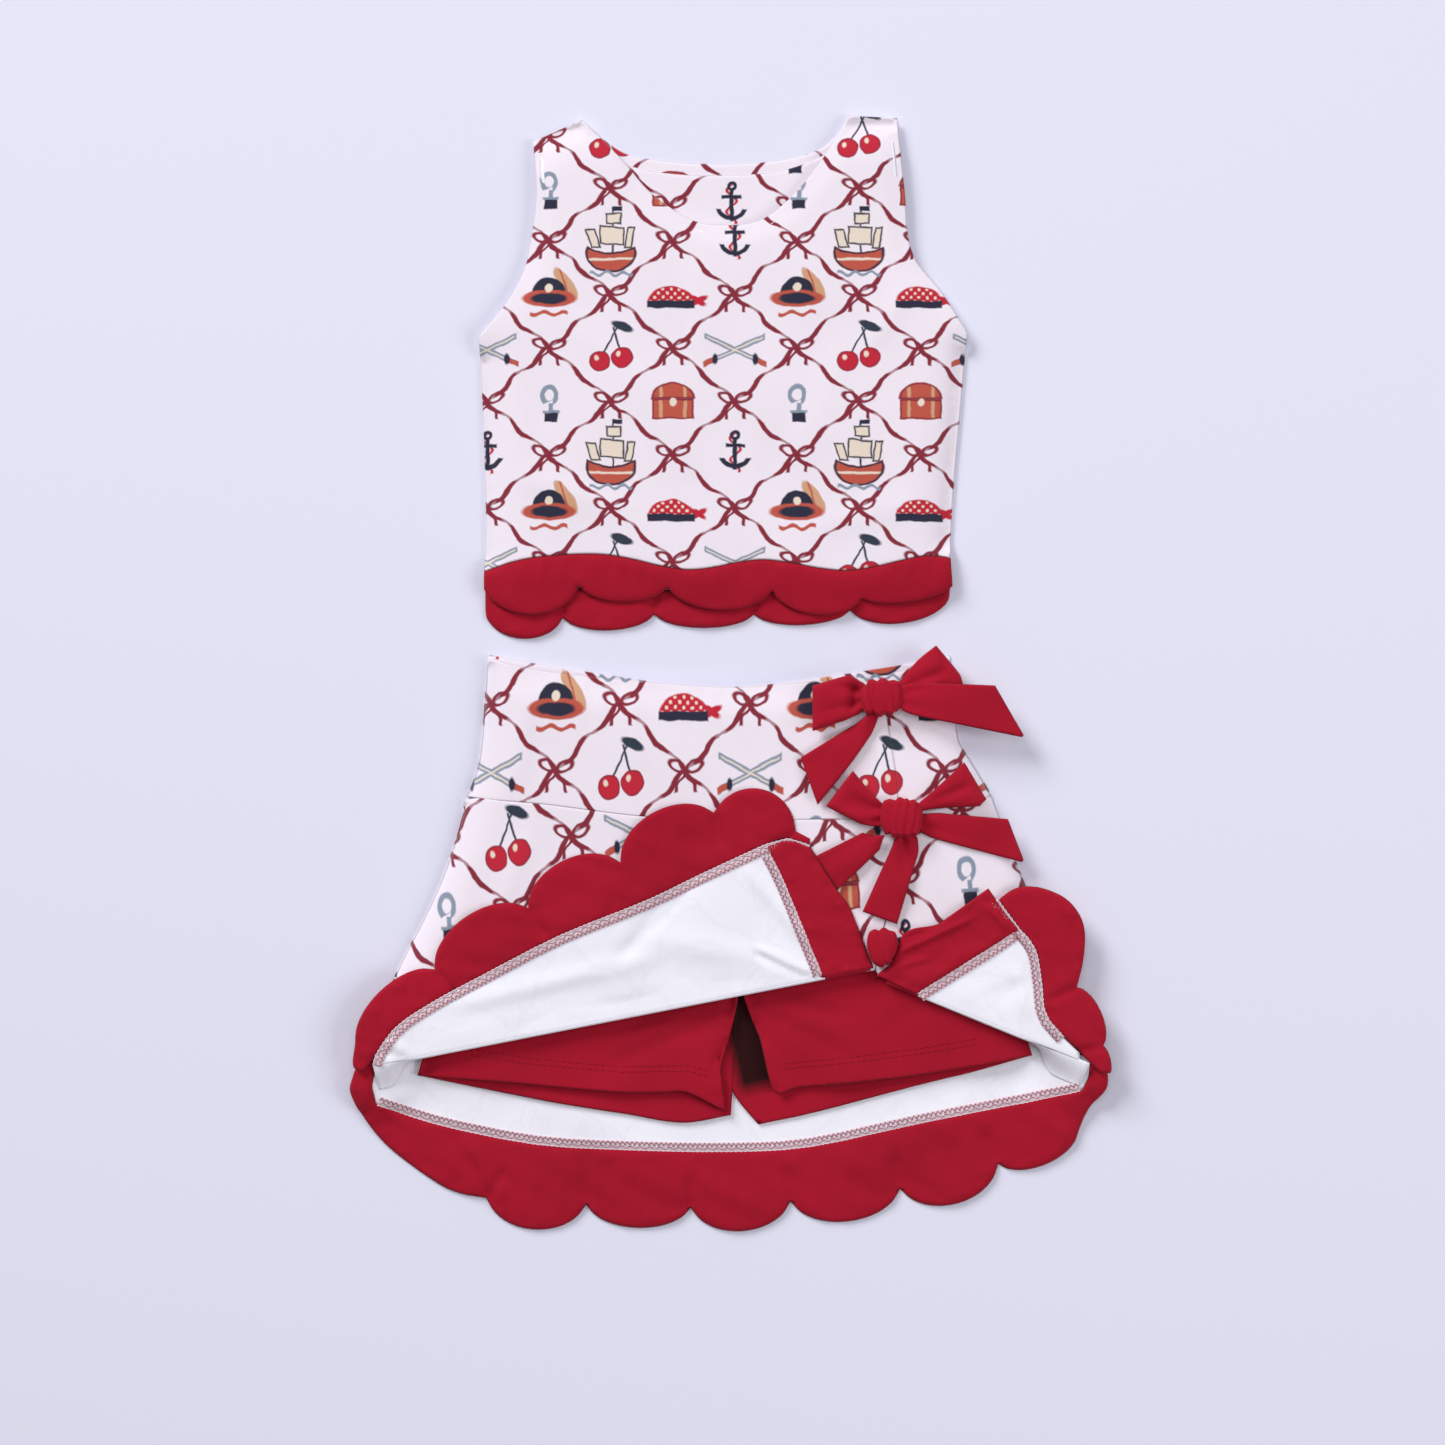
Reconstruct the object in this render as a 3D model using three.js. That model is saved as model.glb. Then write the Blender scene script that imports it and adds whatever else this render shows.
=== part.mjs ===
// Child's cheer uniform laid flat: a sleeveless top above a tie-side skort whose front hem is folded up.
// Millimetres. X runs across the garment, Y from the skirt hem to the shoulders, Z up from the surface.
import * as THREE from "three";

// Driving dimensions
const cloth = 1; // thickness of one jersey layer
const gap = 0.3; // clearance between pieces that are sewn together
const thread = 0.8; // thickness of an overlocked edge or a facing
const threadWidth = 5; // width of an overlocked edge
const seamWidth = 2.5; // width of a side or shoulder seam
const bodySpace = 5; // open height left inside the top and inside the shorts
const foldLift = 1.9; // height of the folded flaps above the skirt front they lie on
const elasticWidth = 18;
const elasticThickness = 0.8;
const hemFoldEdge = 0.8; // distance from a fold line to the cut edge beside it
const tieThickness = 1;
const loopThickness = 6;
const knotThickness = 11.6;
const centring = [0, 0.732]; // moves the outlines so that the box of the set is centred on the origin

// Heights of the layers above the surface
const backLayer = 0;
const backInner = cloth + gap;
const topFrontLayer = backInner + thread + bodySpace + thread + gap;
const topFrontInner = topFrontLayer - gap - thread;
const backFacingLayer = backInner + elasticThickness + gap;
const shortsBackLayer = 2.8;
const shortsFrontLayer = shortsBackLayer + cloth + bodySpace + 0.2;
const skirtFrontLayer = shortsFrontLayer + 2 * cloth;
const frontFacingLayer = 8.8;
const skirtTop = skirtFrontLayer + cloth;
const flapLayer = skirtTop + foldLift;
const flapThreadLayer = flapLayer + cloth + gap;
const tieLayer = skirtTop + 0.4;
const overTieLayer = tieLayer + tieThickness + 0.6;
const overLoopLayer = tieLayer + loopThickness + gap;

// Fold lines of the two front flaps: where they start, which way they run
const frontFold = { start: [-215, -237], angle: 11.109 };
const sideFold = { start: [88, -183.5], angle: -22.249 };

// Finishes
const print = { color: 0xeadeea, roughness: 0.85, metalness: 0 };
const lining = { color: 0xe4e5f0, roughness: 0.9, metalness: 0 };
const red = { color: 0xa01a30, roughness: 0.8, metalness: 0 };
const stitching = { color: 0xd9a3b0, roughness: 0.85, metalness: 0 };
const elastic = { color: 0xf2f2f2, roughness: 0.9, metalness: 0 };

// Outline helpers: each returns a list of [x, y] points
const moved = (points, x, y) => points.map(([px, py]) => [px + x, py + y]);
const reversed = (points) => [...points].reverse();

function smooth(points, stepsPerSpan = 3) {
  const curve = new THREE.SplineCurve(points.map(([x, y]) => new THREE.Vector2(x, y)));
  return curve.getPoints((points.length - 1) * stepsPerSpan).map((p) => [p.x, p.y]);
}

// One round lobe between each two neighbouring cusps, to the left of the way (to the right when negative).
function scallops(cusps, depths, stepsPerLobe = 8) {
  const points = [cusps[0]];
  depths.forEach((depth, i) => {
    const start = new THREE.Vector2(...cusps[i]);
    const end = new THREE.Vector2(...cusps[i + 1]);
    const along = end.clone().sub(start);
    const out = new THREE.Vector2(-along.y, along.x).normalize().multiplyScalar(depth / 0.75);
    const lean = along.clone().multiplyScalar(0.16);
    const curve = new THREE.CubicBezierCurve(
      start,
      start.clone().add(out).add(lean),
      end.clone().add(out).sub(lean),
      end,
    );
    curve.getPoints(stepsPerLobe).slice(1).forEach((p) => points.push([p.x, p.y]));
  });
  return points;
}

// A strip of the given width whose middle follows the line.
function stripAlong(line, width) {
  const sides = [1, -1].map((side) =>
    line.map(([x, y], i) => {
      const [ax, ay] = line[Math.max(i - 1, 0)];
      const [bx, by] = line[Math.min(i + 1, line.length - 1)];
      const reach = (side * width) / 2 / Math.hypot(bx - ax, by - ay);
      return [x - (by - ay) * reach, y + (bx - ax) * reach];
    }),
  );
  return [...sides[0], ...reversed(sides[1])];
}

// A flat piece with the given outline, from height z up.
function sheet(name, outline, z, thickness, finish) {
  const shape = new THREE.Shape(outline.map(([x, y]) => new THREE.Vector2(x, y)));
  const geometry = new THREE.ExtrudeGeometry(shape, { depth: thickness, bevelEnabled: false, steps: 1 });
  const mesh = new THREE.Mesh(geometry, new THREE.MeshStandardMaterial(finish));
  mesh.name = name;
  mesh.position.z = z;
  return mesh;
}

// Lines that two neighbouring pieces share
const leftArmhole = smooth([[-150, 202], [-134, 221], [-123, 241.5], [-118.5, 262], [-115.5, 288], [-117.6, 319.5]]);
const rightArmhole = smooth([[101, 333], [103, 312], [105.5, 287], [107.5, 262], [113, 246], [127, 229], [143, 204]]);
const leftSide = smooth([[-147, 61], [-146, 92], [-147.5, 146], [-150, 202]]);
const rightSide = smooth([[143, 204], [139, 157], [134.5, 104], [133, 69]]);
const topFrontSeam = smooth([[-147, 61], [-119, 69], [-74, 71], [-25, 62], [20, 68], [70, 61.5], [115, 70], [133, 69]]);
const topBackSeam = smooth([[-146.5, 53], [-60, 50], [60, 50], [133, 54]]);
const yokeSeam = smooth([[-154, -74], [-110, -79], [-54, -86], [0, -89]]);
const slitTop = [[91, -3], [92, -15], [100, -60], [102, -87]];
const slitBottom = [[102, -87], [98, -115], [93, -150], [87.5, -178]];
const backHemSeam = smooth([[-212, -259], [-178, -271], [-117, -283.5], [-56, -287], [-1, -288], [49, -285],
  [114, -271], [180, -258], [212, -251]]);

function topPieces() {
  const group = new THREE.Group();
  const frontNeck = smooth([[-88, 332], [-64, 307.5], [-47, 288], [-23, 272], [-2, 268.5], [19, 271.5],
    [38, 286], [56, 308], [72, 334.5]]);
  const backNeck = smooth([[-88, 332], [-64, 313], [-35, 307.5], [-2, 306], [32, 308.5], [58, 317], [72, 334.5]]);
  const shoulders = { left: [-88, 332], right: [101, 333] };
  const front = [...leftSide, ...leftArmhole.slice(1), ...frontNeck, ...rightArmhole, ...rightSide.slice(1),
    ...reversed(topFrontSeam).slice(1, -1)];
  const backSides = { left: leftSide.slice(1), right: rightSide.slice(0, -1) };
  const back = [...topBackSeam.slice(0, 1), ...backSides.left, ...leftArmhole.slice(1), ...backNeck,
    ...rightArmhole, ...backSides.right.slice(1), ...reversed(topBackSeam).slice(0, -1)];
  const frontBand = [...moved(topFrontSeam, 0, -gap), ...reversed(
    scallops([[-147, 50], [-90, 51.5], [-37, 51], [26, 49], [80, 44.5], [134, 52]], [-16, -9, -12.5, -12, -6]))];
  const backBand = [...moved(topBackSeam, 0, -gap), ...reversed(
    scallops([[-146, 34], [-100, 33], [-45, 35], [15, 35], [73, 37.5], [132, 44]], [-13, -8.5, -8, -7.5, -11]))];
  group.add(
    sheet("top_front_panel", front, topFrontLayer, cloth, print),
    sheet("top_back_panel", back, backLayer, cloth, print),
    sheet("top_front_hem_band", frontBand, topFrontLayer, cloth, red),
    sheet("top_back_hem_band", backBand, backLayer, cloth, red),
  );

  const facingEnds = [[98, 327], [101, 298], [86, 270]];
  const facingStart = [[-96, 270], [-112, 294], [-113.5, 312]];
  const frontFacing = [...facingStart, ...smooth([[-88, 324], [-66, 303], [-49, 284], [-24, 268], [-2, 264.5],
    [20, 267.5], [41, 283], [59, 305], [73, 328]], 2), ...facingEnds, [60, 244], [0, 228], [-60, 240]];
  const backFacing = [...facingStart, ...smooth([[-88, 324], [-64, 306.5], [-35, 300], [-2, 299], [32, 302],
    [60, 313], [73, 328]], 2), ...facingEnds, [40, 256], [-40, 256]];
  group.add(
    sheet("front_neck_facing", frontFacing, topFrontInner, thread, print),
    sheet("back_neck_facing", backFacing, backInner, thread, print),
  );

  const seamHeight = topFrontLayer - cloth - 2 * gap;
  const [leftX, leftY] = shoulders.left;
  const leftShoulder = [[-115, 317.5], [leftX - 1, leftY - 6], [leftX - 2, leftY - 3], [-115.5, 320]];
  const rightShoulder = moved([[0, 0], [-25, 0], [-25, -seamWidth], [0, -seamWidth]], shoulders.right[0] - 2,
    shoulders.right[1] - 2);
  const leftSeam = stripAlong(moved(leftSide.slice(1, -1), 2, 0), seamWidth);
  const rightSeam = stripAlong(moved(rightSide.slice(1, -1), -2, 0), seamWidth);
  group.add(
    sheet("left_shoulder_seam", leftShoulder, backInner, seamHeight, print),
    sheet("right_shoulder_seam", rightShoulder, backInner, seamHeight, print),
    sheet("top_left_side_seam", leftSeam, backInner, seamHeight, print),
    sheet("top_right_side_seam", rightSeam, backInner, seamHeight, print),
  );

  const frontThread = stripAlong(moved(topFrontSeam.slice(2, -2), 0, threadWidth / 2), threadWidth);
  const backThread = stripAlong(moved(topBackSeam.slice(1, -1), 0, threadWidth / 2), threadWidth);
  group.add(
    sheet("top_front_hem_overlock", frontThread, topFrontInner, thread, stitching),
    sheet("top_back_hem_overlock", backThread, backInner, thread, stitching),
  );
  return group;
}

// Upper part of the skirt, from the waist fold to the yoke seam, with its facings and elastic
function yokePieces() {
  const group = new THREE.Group();
  const frontWaist = smooth([[-143, 8], [-103, -0.5], [-5, -9], [50, -6], [91, -3]]);
  const sideWaist = [[91, -3], [112, 3], [131, 8]];
  const backWaist = smooth([[-145, 10.5], [-103, 3], [-5, -9], [90, 2], [133, 10.5]]);
  const rightYokeSeam = smooth([[0, -89], [102, -87], [154, -74]]);
  const front = [...frontWaist, ...moved(slitTop.slice(1), -gap, 0), [50, -88], ...reversed(yokeSeam),
    [-148, -57], [-145, -34]];
  const side = [...moved(slitTop, gap, 0), [154, -74], [143, -54], [136, -40], ...reversed(sideWaist.slice(1))];
  const back = [...backWaist, [138, -40], [146, -54], [158, -74], ...reversed(rightYokeSeam).slice(1),
    ...reversed(yokeSeam).slice(1, -1), [-157, -74], [-151, -57], [-148, -34]];
  group.add(
    sheet("front_yoke", front, skirtFrontLayer, cloth, print),
    sheet("side_yoke", side, skirtFrontLayer, cloth, print),
    sheet("back_yoke", back, backLayer, cloth, print),
  );

  const facingDepth = -36;
  const [facingLeft, facingRight] = [-130, 119];
  const facingTop = [[facingLeft, 2], ...moved(frontWaist.slice(2, -1), 0, -2)];
  const facingBottom = [[-5, facingDepth - 6], [facingLeft, facingDepth]];
  const frontFacing = [...facingTop, [88, -6], [88, facingDepth], ...facingBottom];
  const sideFacing = [[96, -5], [facingRight, 2], [facingRight, facingDepth], [99, facingDepth]];
  const backFacing = [...facingTop, [facingRight, 2], [facingRight, facingDepth], ...facingBottom];
  group.add(
    sheet("front_waist_facing", frontFacing, frontFacingLayer, thread, print),
    sheet("side_waist_facing", sideFacing, frontFacingLayer, thread, print),
    sheet("back_waist_facing", backFacing, backFacingLayer, thread, print),
    waistElastic(),
    sheet("front_yoke_overlock", stripAlong(moved(yokeSeam.slice(2), 2, 3), threadWidth),
      skirtFrontLayer - 0.7, 0.4, stitching),
    sheet("back_yoke_overlock", stripAlong(moved(yokeSeam.slice(2), 2, 3), threadWidth), backInner, thread,
      stitching),
  );
  return group;
}

// The elastic is one flattened ring round the waist, inside the folded waist edge.
function waistElastic() {
  const ring = { left: -138, right: 127, low: backInner, high: skirtFrontLayer - gap };
  const hoop = (inset) => {
    const round = (ring.high - ring.low) / 2;
    const middle = (ring.high + ring.low) / 2;
    const shape = new THREE.Path();
    shape.absarc(ring.right - round, middle, round - inset, -Math.PI / 2, Math.PI / 2, false);
    shape.absarc(ring.left + round, middle, round - inset, Math.PI / 2, (3 * Math.PI) / 2, false);
    return shape.getPoints(6);
  };
  const section = new THREE.Shape(hoop(0));
  section.holes.push(new THREE.Path(reversed(hoop(elasticThickness))));
  const geometry = new THREE.ExtrudeGeometry(section, { depth: elasticWidth, bevelEnabled: false });
  const mesh = new THREE.Mesh(geometry, new THREE.MeshStandardMaterial(elastic));
  mesh.name = "waist_elastic";
  mesh.rotation.x = Math.PI / 2;
  mesh.position.y = -16;
  return mesh;
}

// Lower part of the skirt that lies flat, with the hem band of the back
function skirtPieces() {
  const group = new THREE.Group();
  const frontLeft = [[-203, -233.5], [-186, -184], [-170, -141], [-159, -106], [-153, -80]];
  const seam = moved(yokeSeam, 0, -gap);
  const front = [...frontLeft, ...seam.slice(1), [50, -88.3], ...moved(slitBottom, -gap, -gap), [60, -181.8]];
  const side = [...moved(slitBottom, gap + 0.4, -gap), [89.5, -181], [212, -231.2], [206, -205], [190, -170],
    [171, -125], [154.5, -74.5]];
  const backLeft = smooth([[-157.3, -75], [-166, -106], [-180, -141], [-204, -190], [-216, -238]]);
  const backRight = smooth([[218, -238], [208, -200], [191, -160], [175, -120], [158.3, -75]]);
  const back = [...backLeft, ...moved(backHemSeam, 0, gap), ...backRight,
    ...moved(reversed(smooth([[0, -89], [102, -87], [154, -74]])).slice(1), 0, -gap),
    ...moved(reversed(yokeSeam).slice(1, -1), 0, -gap)];
  const backBand = [...backHemSeam, [218.5, -237], [229, -232],
    ...smooth([[229, -238], [226, -250], [216, -262], [210, -276]]),
    ...scallops([[210, -276], [162, -295.5], [103, -310.5], [37, -318], [-23, -322], [-86, -320], [-146, -316]],
      [11, 17, 16, 16, 13, 17]).slice(1),
    ...smooth([[-146, -316], [-170, -310], [-204, -286], [-221, -265], [-227, -252], [-229, -241]]).slice(1),
    [-228, -235], [-216.5, -238]];
  group.add(
    sheet("front_skirt_panel", front, skirtFrontLayer, cloth, print),
    sheet("side_skirt_panel", side, skirtFrontLayer, cloth, print),
    sheet("back_skirt_panel", back, backLayer, cloth, print),
    sheet("back_hem_band", backBand, backLayer, cloth, red),
    sheet("back_hem_overlock", stripAlong(backHemSeam.slice(1, -1), threadWidth), backInner, thread, stitching),
  );

  const seamHeight = skirtFrontLayer - cloth - 2 * gap;
  const leftSeam = stripAlong(moved([[-143, 4], [-146, -34], [-150, -74], ...reversed(frontLeft).slice(1, -1)], 3, 0),
    seamWidth);
  const rightSeam = stripAlong(moved([[131, 4], [136, -42], [154, -76], [171, -125], [190, -170], [205, -205]], -3, 0),
    seamWidth);
  group.add(
    sheet("skirt_left_side_seam", leftSeam, backInner, seamHeight, print),
    sheet("skirt_right_side_seam", rightSeam, backInner, seamHeight, print),
  );
  return group;
}

// A group whose X runs along a fold line and whose Y runs away from it, over the skirt
function foldGroup({ start, angle }) {
  const group = new THREE.Group();
  group.position.set(start[0], start[1], 0);
  group.rotation.z = THREE.MathUtils.degToRad(angle);
  return group;
}

// The wide front flap, left of the slit, folded up over the skirt with its inside showing
function frontFlap() {
  const group = foldGroup(frontFold);
  const hemSeam = smooth([[1, 2], [19, 20], [44, 31], [76, 41], [128, 56], [183, 66.5], [217, 75.5], [258, 85.5]]);
  const slitHemSeam = [[258, 85.5], [272, 86.5], [284, 80]];
  const slitSeam = smooth([[258, 85.5], [264, 61], [270.5, 28], [276, hemFoldEdge]]);
  const slitEdge = smooth([[284, 80], [295, 51], [301, 36.5], [307, hemFoldEdge]]);
  const hemEdge = scallops([[-5, 16], [49.5, 50.5], [111.5, 76], [171, 92], [231.5, 110.5], [277.5, 90]],
    [13, 16, 16, 17, 20]);
  const panel = [[2, hemFoldEdge], [276 - gap, hemFoldEdge], ...reversed(moved(slitSeam, -gap, -gap)).slice(1),
    ...reversed(moved(hemSeam, 0, -gap)).slice(1, -1)];
  const hemBand = [[-1, 2], ...hemEdge, [285, 84], ...reversed(slitHemSeam), ...reversed(hemSeam).slice(1)];
  const slitBand = [...reversed(slitSeam.slice(1)), ...moved(slitHemSeam, 0, -gap), ...slitEdge.slice(1)];
  group.add(
    sheet("front_flap_panel", panel, flapLayer, cloth, lining),
    sheet("front_flap_hem_band", hemBand, flapLayer, cloth, red),
    sheet("front_flap_slit_band", slitBand, flapLayer, cloth, red),
    sheet("front_flap_hem_overlock", stripAlong([...hemSeam.slice(1), ...slitHemSeam.slice(1)], threadWidth),
      flapThreadLayer, thread, stitching),
    sheet("front_flap_slit_overlock", stripAlong(moved(slitSeam.slice(2, -1), 1, -2), threadWidth), flapThreadLayer,
      thread, stitching),
  );
  return group;
}

// The narrow flap, right of the slit
function sideFlap() {
  const group = foldGroup(sideFold);
  const slitSeam = [[26, hemFoldEdge], [47, 30], [68.5, 59.5]];
  const slitHemSeam = [[68.5, 59.5], [61, 64], [48.5, 71.5]];
  const hemSeam = smooth([[68.5, 59.5], [76, 56], [84, 49], [93.5, 33], [105, 16], [142, hemFoldEdge]]);
  const slitEdge = [[6, hemFoldEdge], [8.5, 21], [13.5, 30.5], [41.5, 75.5]];
  const hemEdge = [...smooth([[50.3, 72.5], [57, 82], [69, 87.5], [85, 87.8], [97, 82.4], [105, 73], [110.5, 57],
    [113, 41]]), ...scallops([[113, 41], [141, 14.5], [151, hemFoldEdge]], [7, 2]).slice(1)];
  const panel = [[26 + gap, hemFoldEdge], ...reversed(moved(hemSeam, -gap, -gap)).slice(1, -1),
    ...reversed(moved(slitSeam, gap, -gap)).slice(0, -1)];
  const slitBand = [...reversed(slitEdge), ...moved(slitSeam, -gap, 0), ...moved(slitHemSeam, -gap, -gap).slice(1)];
  const hemBand = [...hemEdge, [144, hemFoldEdge], ...reversed(moved(hemSeam, gap, gap)).slice(1),
    ...moved(slitHemSeam, gap, gap).slice(1)];
  group.add(
    sheet("side_flap_panel", panel, flapLayer, cloth, lining),
    sheet("side_flap_hem_band", hemBand, flapLayer, cloth, red),
    sheet("side_flap_slit_band", slitBand, flapLayer, cloth, red),
    sheet("side_flap_hem_overlock", stripAlong([...reversed(slitHemSeam).slice(0, 2), ...hemSeam.slice(0, -2)],
      threadWidth), flapThreadLayer, thread, stitching),
    sheet("side_flap_slit_overlock", stripAlong([[29, 5], [45, 27], [60, 48]], threadWidth), flapThreadLayer,
      thread, stitching),
  );
  return group;
}

function shortsPieces() {
  const group = new THREE.Group();
  const leftOuter = [[-187, -242], [-165, -170], [-146, -95], [-138, -46]];
  const rightOuter = [[129, -46], [140, -95], [160, -160], [182, -230]];
  const leftInner = [[-3, -46], [-3, -150], [2, -175], [5, -197]];
  const rightInner = [[-1, -46], [-1, -150], [5, -175], [9, -195]];
  const leftFront = [...leftOuter, ...leftInner, [-10, -256], ...smooth([[-25, -251.5], [-64, -252], [-133, -246]], 2)];
  const rightFront = [...rightOuter, ...smooth([[155, -235], [114, -241.5], [75, -246], [31, -250]], 2),
    [20, -223], ...reversed(rightInner)];
  const leftBack = [...leftOuter, ...leftInner, [1, -266], ...smooth([[-28, -270.5], [-101, -259], [-148, -250]], 2)];
  const rightBack = [...rightOuter, ...smooth([[147, -240], [114, -248], [65, -261], [24, -272]], 2),
    ...reversed(rightInner)];
  const spaceBottom = shortsBackLayer + cloth + gap;
  const spaceHeight = shortsFrontLayer - gap - spaceBottom;
  const leftOut = stripAlong(moved([...leftOuter].slice(0, 4), 3, 0), seamWidth);
  const rightOut = stripAlong(moved([...rightOuter].slice(0, 4), -3, 0), seamWidth);
  const leftIn = stripAlong([[-5, -50], [-5, -150], [-1, -175], [1, -200], [-8, -250]], seamWidth);
  const rightIn = stripAlong([[1, -50], [1, -150], [9, -178], [13, -197], [28, -246]], seamWidth);
  group.add(
    sheet("shorts_left_front", leftFront, shortsFrontLayer, cloth, red),
    sheet("shorts_right_front", rightFront, shortsFrontLayer, cloth, red),
    sheet("shorts_left_back", leftBack, shortsBackLayer, cloth, red),
    sheet("shorts_right_back", rightBack, shortsBackLayer, cloth, red),
    sheet("shorts_left_outseam", leftOut, spaceBottom, spaceHeight, red),
    sheet("shorts_right_outseam", rightOut, spaceBottom, spaceHeight, red),
    sheet("shorts_left_inseam", leftIn, spaceBottom, spaceHeight, red),
    sheet("shorts_right_inseam", rightIn, spaceBottom, spaceHeight, red),
  );
  return group;
}

// A knot is a pillow of wound tie, rounder at its rims.
function knot(name, [x, y], width, height, thickness) {
  const round = 2;
  const shape = new THREE.Shape();
  const corner = Math.min(width, height) / 3;
  const halfX = width / 2 - round;
  const halfY = height / 2 - round;
  shape.moveTo(-halfX + corner, -halfY);
  shape.lineTo(halfX - corner, -halfY);
  shape.quadraticCurveTo(halfX, -halfY, halfX, -halfY + corner);
  shape.lineTo(halfX, halfY - corner);
  shape.quadraticCurveTo(halfX, halfY, halfX - corner, halfY);
  shape.lineTo(-halfX + corner, halfY);
  shape.quadraticCurveTo(-halfX, halfY, -halfX, halfY - corner);
  shape.lineTo(-halfX, -halfY + corner);
  shape.quadraticCurveTo(-halfX, -halfY, -halfX + corner, -halfY);
  const geometry = new THREE.ExtrudeGeometry(shape, {
    depth: thickness - 2 * round,
    bevelThickness: round,
    bevelSize: round,
    bevelSegments: 3,
    curveSegments: 3,
  });
  const mesh = new THREE.Mesh(geometry, new THREE.MeshStandardMaterial(red));
  mesh.name = name;
  mesh.position.set(x, y, tieLayer + round);
  return mesh;
}

function bowPieces() {
  const group = new THREE.Group();
  group.add(
    knot("upper_bow_knot", [91, -15], 25, 23, knotThickness),
    sheet("upper_bow_left_loop", [[77.5, -4], [72, -1.5], [50, -8], [50, -35], [77.5, -26]], overTieLayer,
      loopThickness, red),
    sheet("upper_bow_right_loop", [[105, -5], [112, 6], [124, 16], [138, -1], [140, -7], [128, -22], [105, -24]],
      tieLayer, loopThickness, red),
    sheet("upper_bow_left_tail", [[80, -29], [91, -28.5], [73, -54], [53, -79], [43, -51]], tieLayer, tieThickness,
      red),
    sheet("upper_bow_right_tail", [[106.5, -6], [159, -8], [177, -39], [107, -25]], overLoopLayer, tieThickness, red),

    knot("middle_bow_knot", [103, -87], 25, 25, knotThickness),
    sheet("middle_bow_left_loop", [[74, -59], [58, -80], [86, -94.5], [89.5, -91], [89.5, -78]], overTieLayer,
      loopThickness, red),
    sheet("middle_bow_right_loop", [[116.5, -76], [141, -54], [154, -76], [150, -80], [116.5, -81.5]], tieLayer,
      loopThickness, red),
    sheet("middle_bow_left_tail", [[80, -96], [52, -110], [65, -130], [90, -106], [90, -100.5]], tieLayer,
      tieThickness, red),
    sheet("middle_bow_right_tail", [[117.5, -83.5], [167, -88], [177, -114], [117.5, -98]], tieLayer, tieThickness, red),
    sheet("middle_bow_lower_tail", [[99, -101.5], [115, -101.5], [100.5, -150.5], [80, -143]], tieLayer, tieThickness,
      red),

    knot("lower_bow_knot", [92, -161], 12, 16, knotThickness - 2),
  );
  return group;
}

const uniform = new THREE.Group();
uniform.position.set(centring[0], centring[1], 0);
uniform.add(topPieces(), yokePieces(), skirtPieces(), frontFlap(), sideFlap(), shortsPieces(), bowPieces());

export default uniform;
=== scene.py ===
import math

import bpy
import numpy as np
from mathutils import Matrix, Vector
from mathutils.geometry import delaunay_2d_cdt


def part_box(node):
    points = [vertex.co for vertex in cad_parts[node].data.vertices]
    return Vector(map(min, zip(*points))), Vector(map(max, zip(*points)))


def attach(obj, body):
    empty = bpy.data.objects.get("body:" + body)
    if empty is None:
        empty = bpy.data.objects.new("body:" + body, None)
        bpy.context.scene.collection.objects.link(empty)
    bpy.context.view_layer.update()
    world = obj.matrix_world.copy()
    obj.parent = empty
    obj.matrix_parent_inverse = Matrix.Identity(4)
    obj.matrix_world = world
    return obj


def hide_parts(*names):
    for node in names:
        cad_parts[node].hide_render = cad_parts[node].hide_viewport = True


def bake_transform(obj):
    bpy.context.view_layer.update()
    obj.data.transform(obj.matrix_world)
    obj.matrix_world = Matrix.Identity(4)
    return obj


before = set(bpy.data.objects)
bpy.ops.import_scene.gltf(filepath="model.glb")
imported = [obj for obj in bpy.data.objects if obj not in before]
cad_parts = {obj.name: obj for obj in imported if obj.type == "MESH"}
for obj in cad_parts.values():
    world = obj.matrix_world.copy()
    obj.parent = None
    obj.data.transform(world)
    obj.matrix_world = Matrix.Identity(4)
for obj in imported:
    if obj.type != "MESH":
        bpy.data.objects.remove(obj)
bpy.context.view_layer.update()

print("stage: frame loaded")

# Lengths are worked out in millimetres and become metres when a mesh is made.
mm = 0.001
yShift = 0.732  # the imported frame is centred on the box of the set
cloth = {"panel": 0.9, "band": 1.5, "tie": 1.1, "facing": 0.6, "cell": 4.0, "bandCell": 3.2, "grow": 0.16,
         "clearance": 0.05, "thinnest": 0.35, "cornerTurn": 34, "cuspTurn": -38, "edgeRows": (1.1, 2.7)}
folds = {
    "front": {"start": (-215, -237 + yShift), "angle": 11.109, "from": 1.8, "to": 306.0},
    "side": {"start": (88, -183.5 + yShift), "angle": -22.249, "from": 6.0, "to": 138.0},
}


# Small maths.
def ease(low, high, value):
    t = np.clip((value - low) / (high - low), 0, 1)
    return t * t * (3 - 2 * t)


def roll(distance, width):  # quarter-round rise from a closed edge
    t = np.clip(distance / width, 0, 1)
    return np.sqrt(np.clip(1 - (1 - t) ** 2, 0, 1))


def ripples(x, y, seed, length, count=9):  # smooth unevenness, about -1 to 1
    draw = np.random.RandomState(seed)
    total = np.zeros_like(x, dtype=float)
    for _ in range(count):
        angle = draw.uniform(0, 2 * math.pi)
        wave = length * draw.uniform(0.6, 1.7)
        phase = draw.uniform(0, 2 * math.pi)
        total += np.sin((x * math.cos(angle) + y * math.sin(angle)) * 2 * math.pi / wave + phase)
    return total / math.sqrt(count)


def creases(x, y, strokes):  # each stroke: x0, y0, x1, y1, half width, height
    total = np.zeros_like(x, dtype=float)
    for x0, y0, x1, y1, width, height in strokes:
        dx, dy = x1 - x0, y1 - y0
        span = dx * dx + dy * dy
        t = ((x - x0) * dx + (y - y0) * dy) / span
        across = ((x - x0) * dy - (y - y0) * dx) / math.sqrt(span)
        fade = ease(-0.12, 0.2, t) * (1 - ease(0.75, 1.12, t))
        total += height * fade * np.exp(-((across / width) ** 2))
    return total


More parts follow.
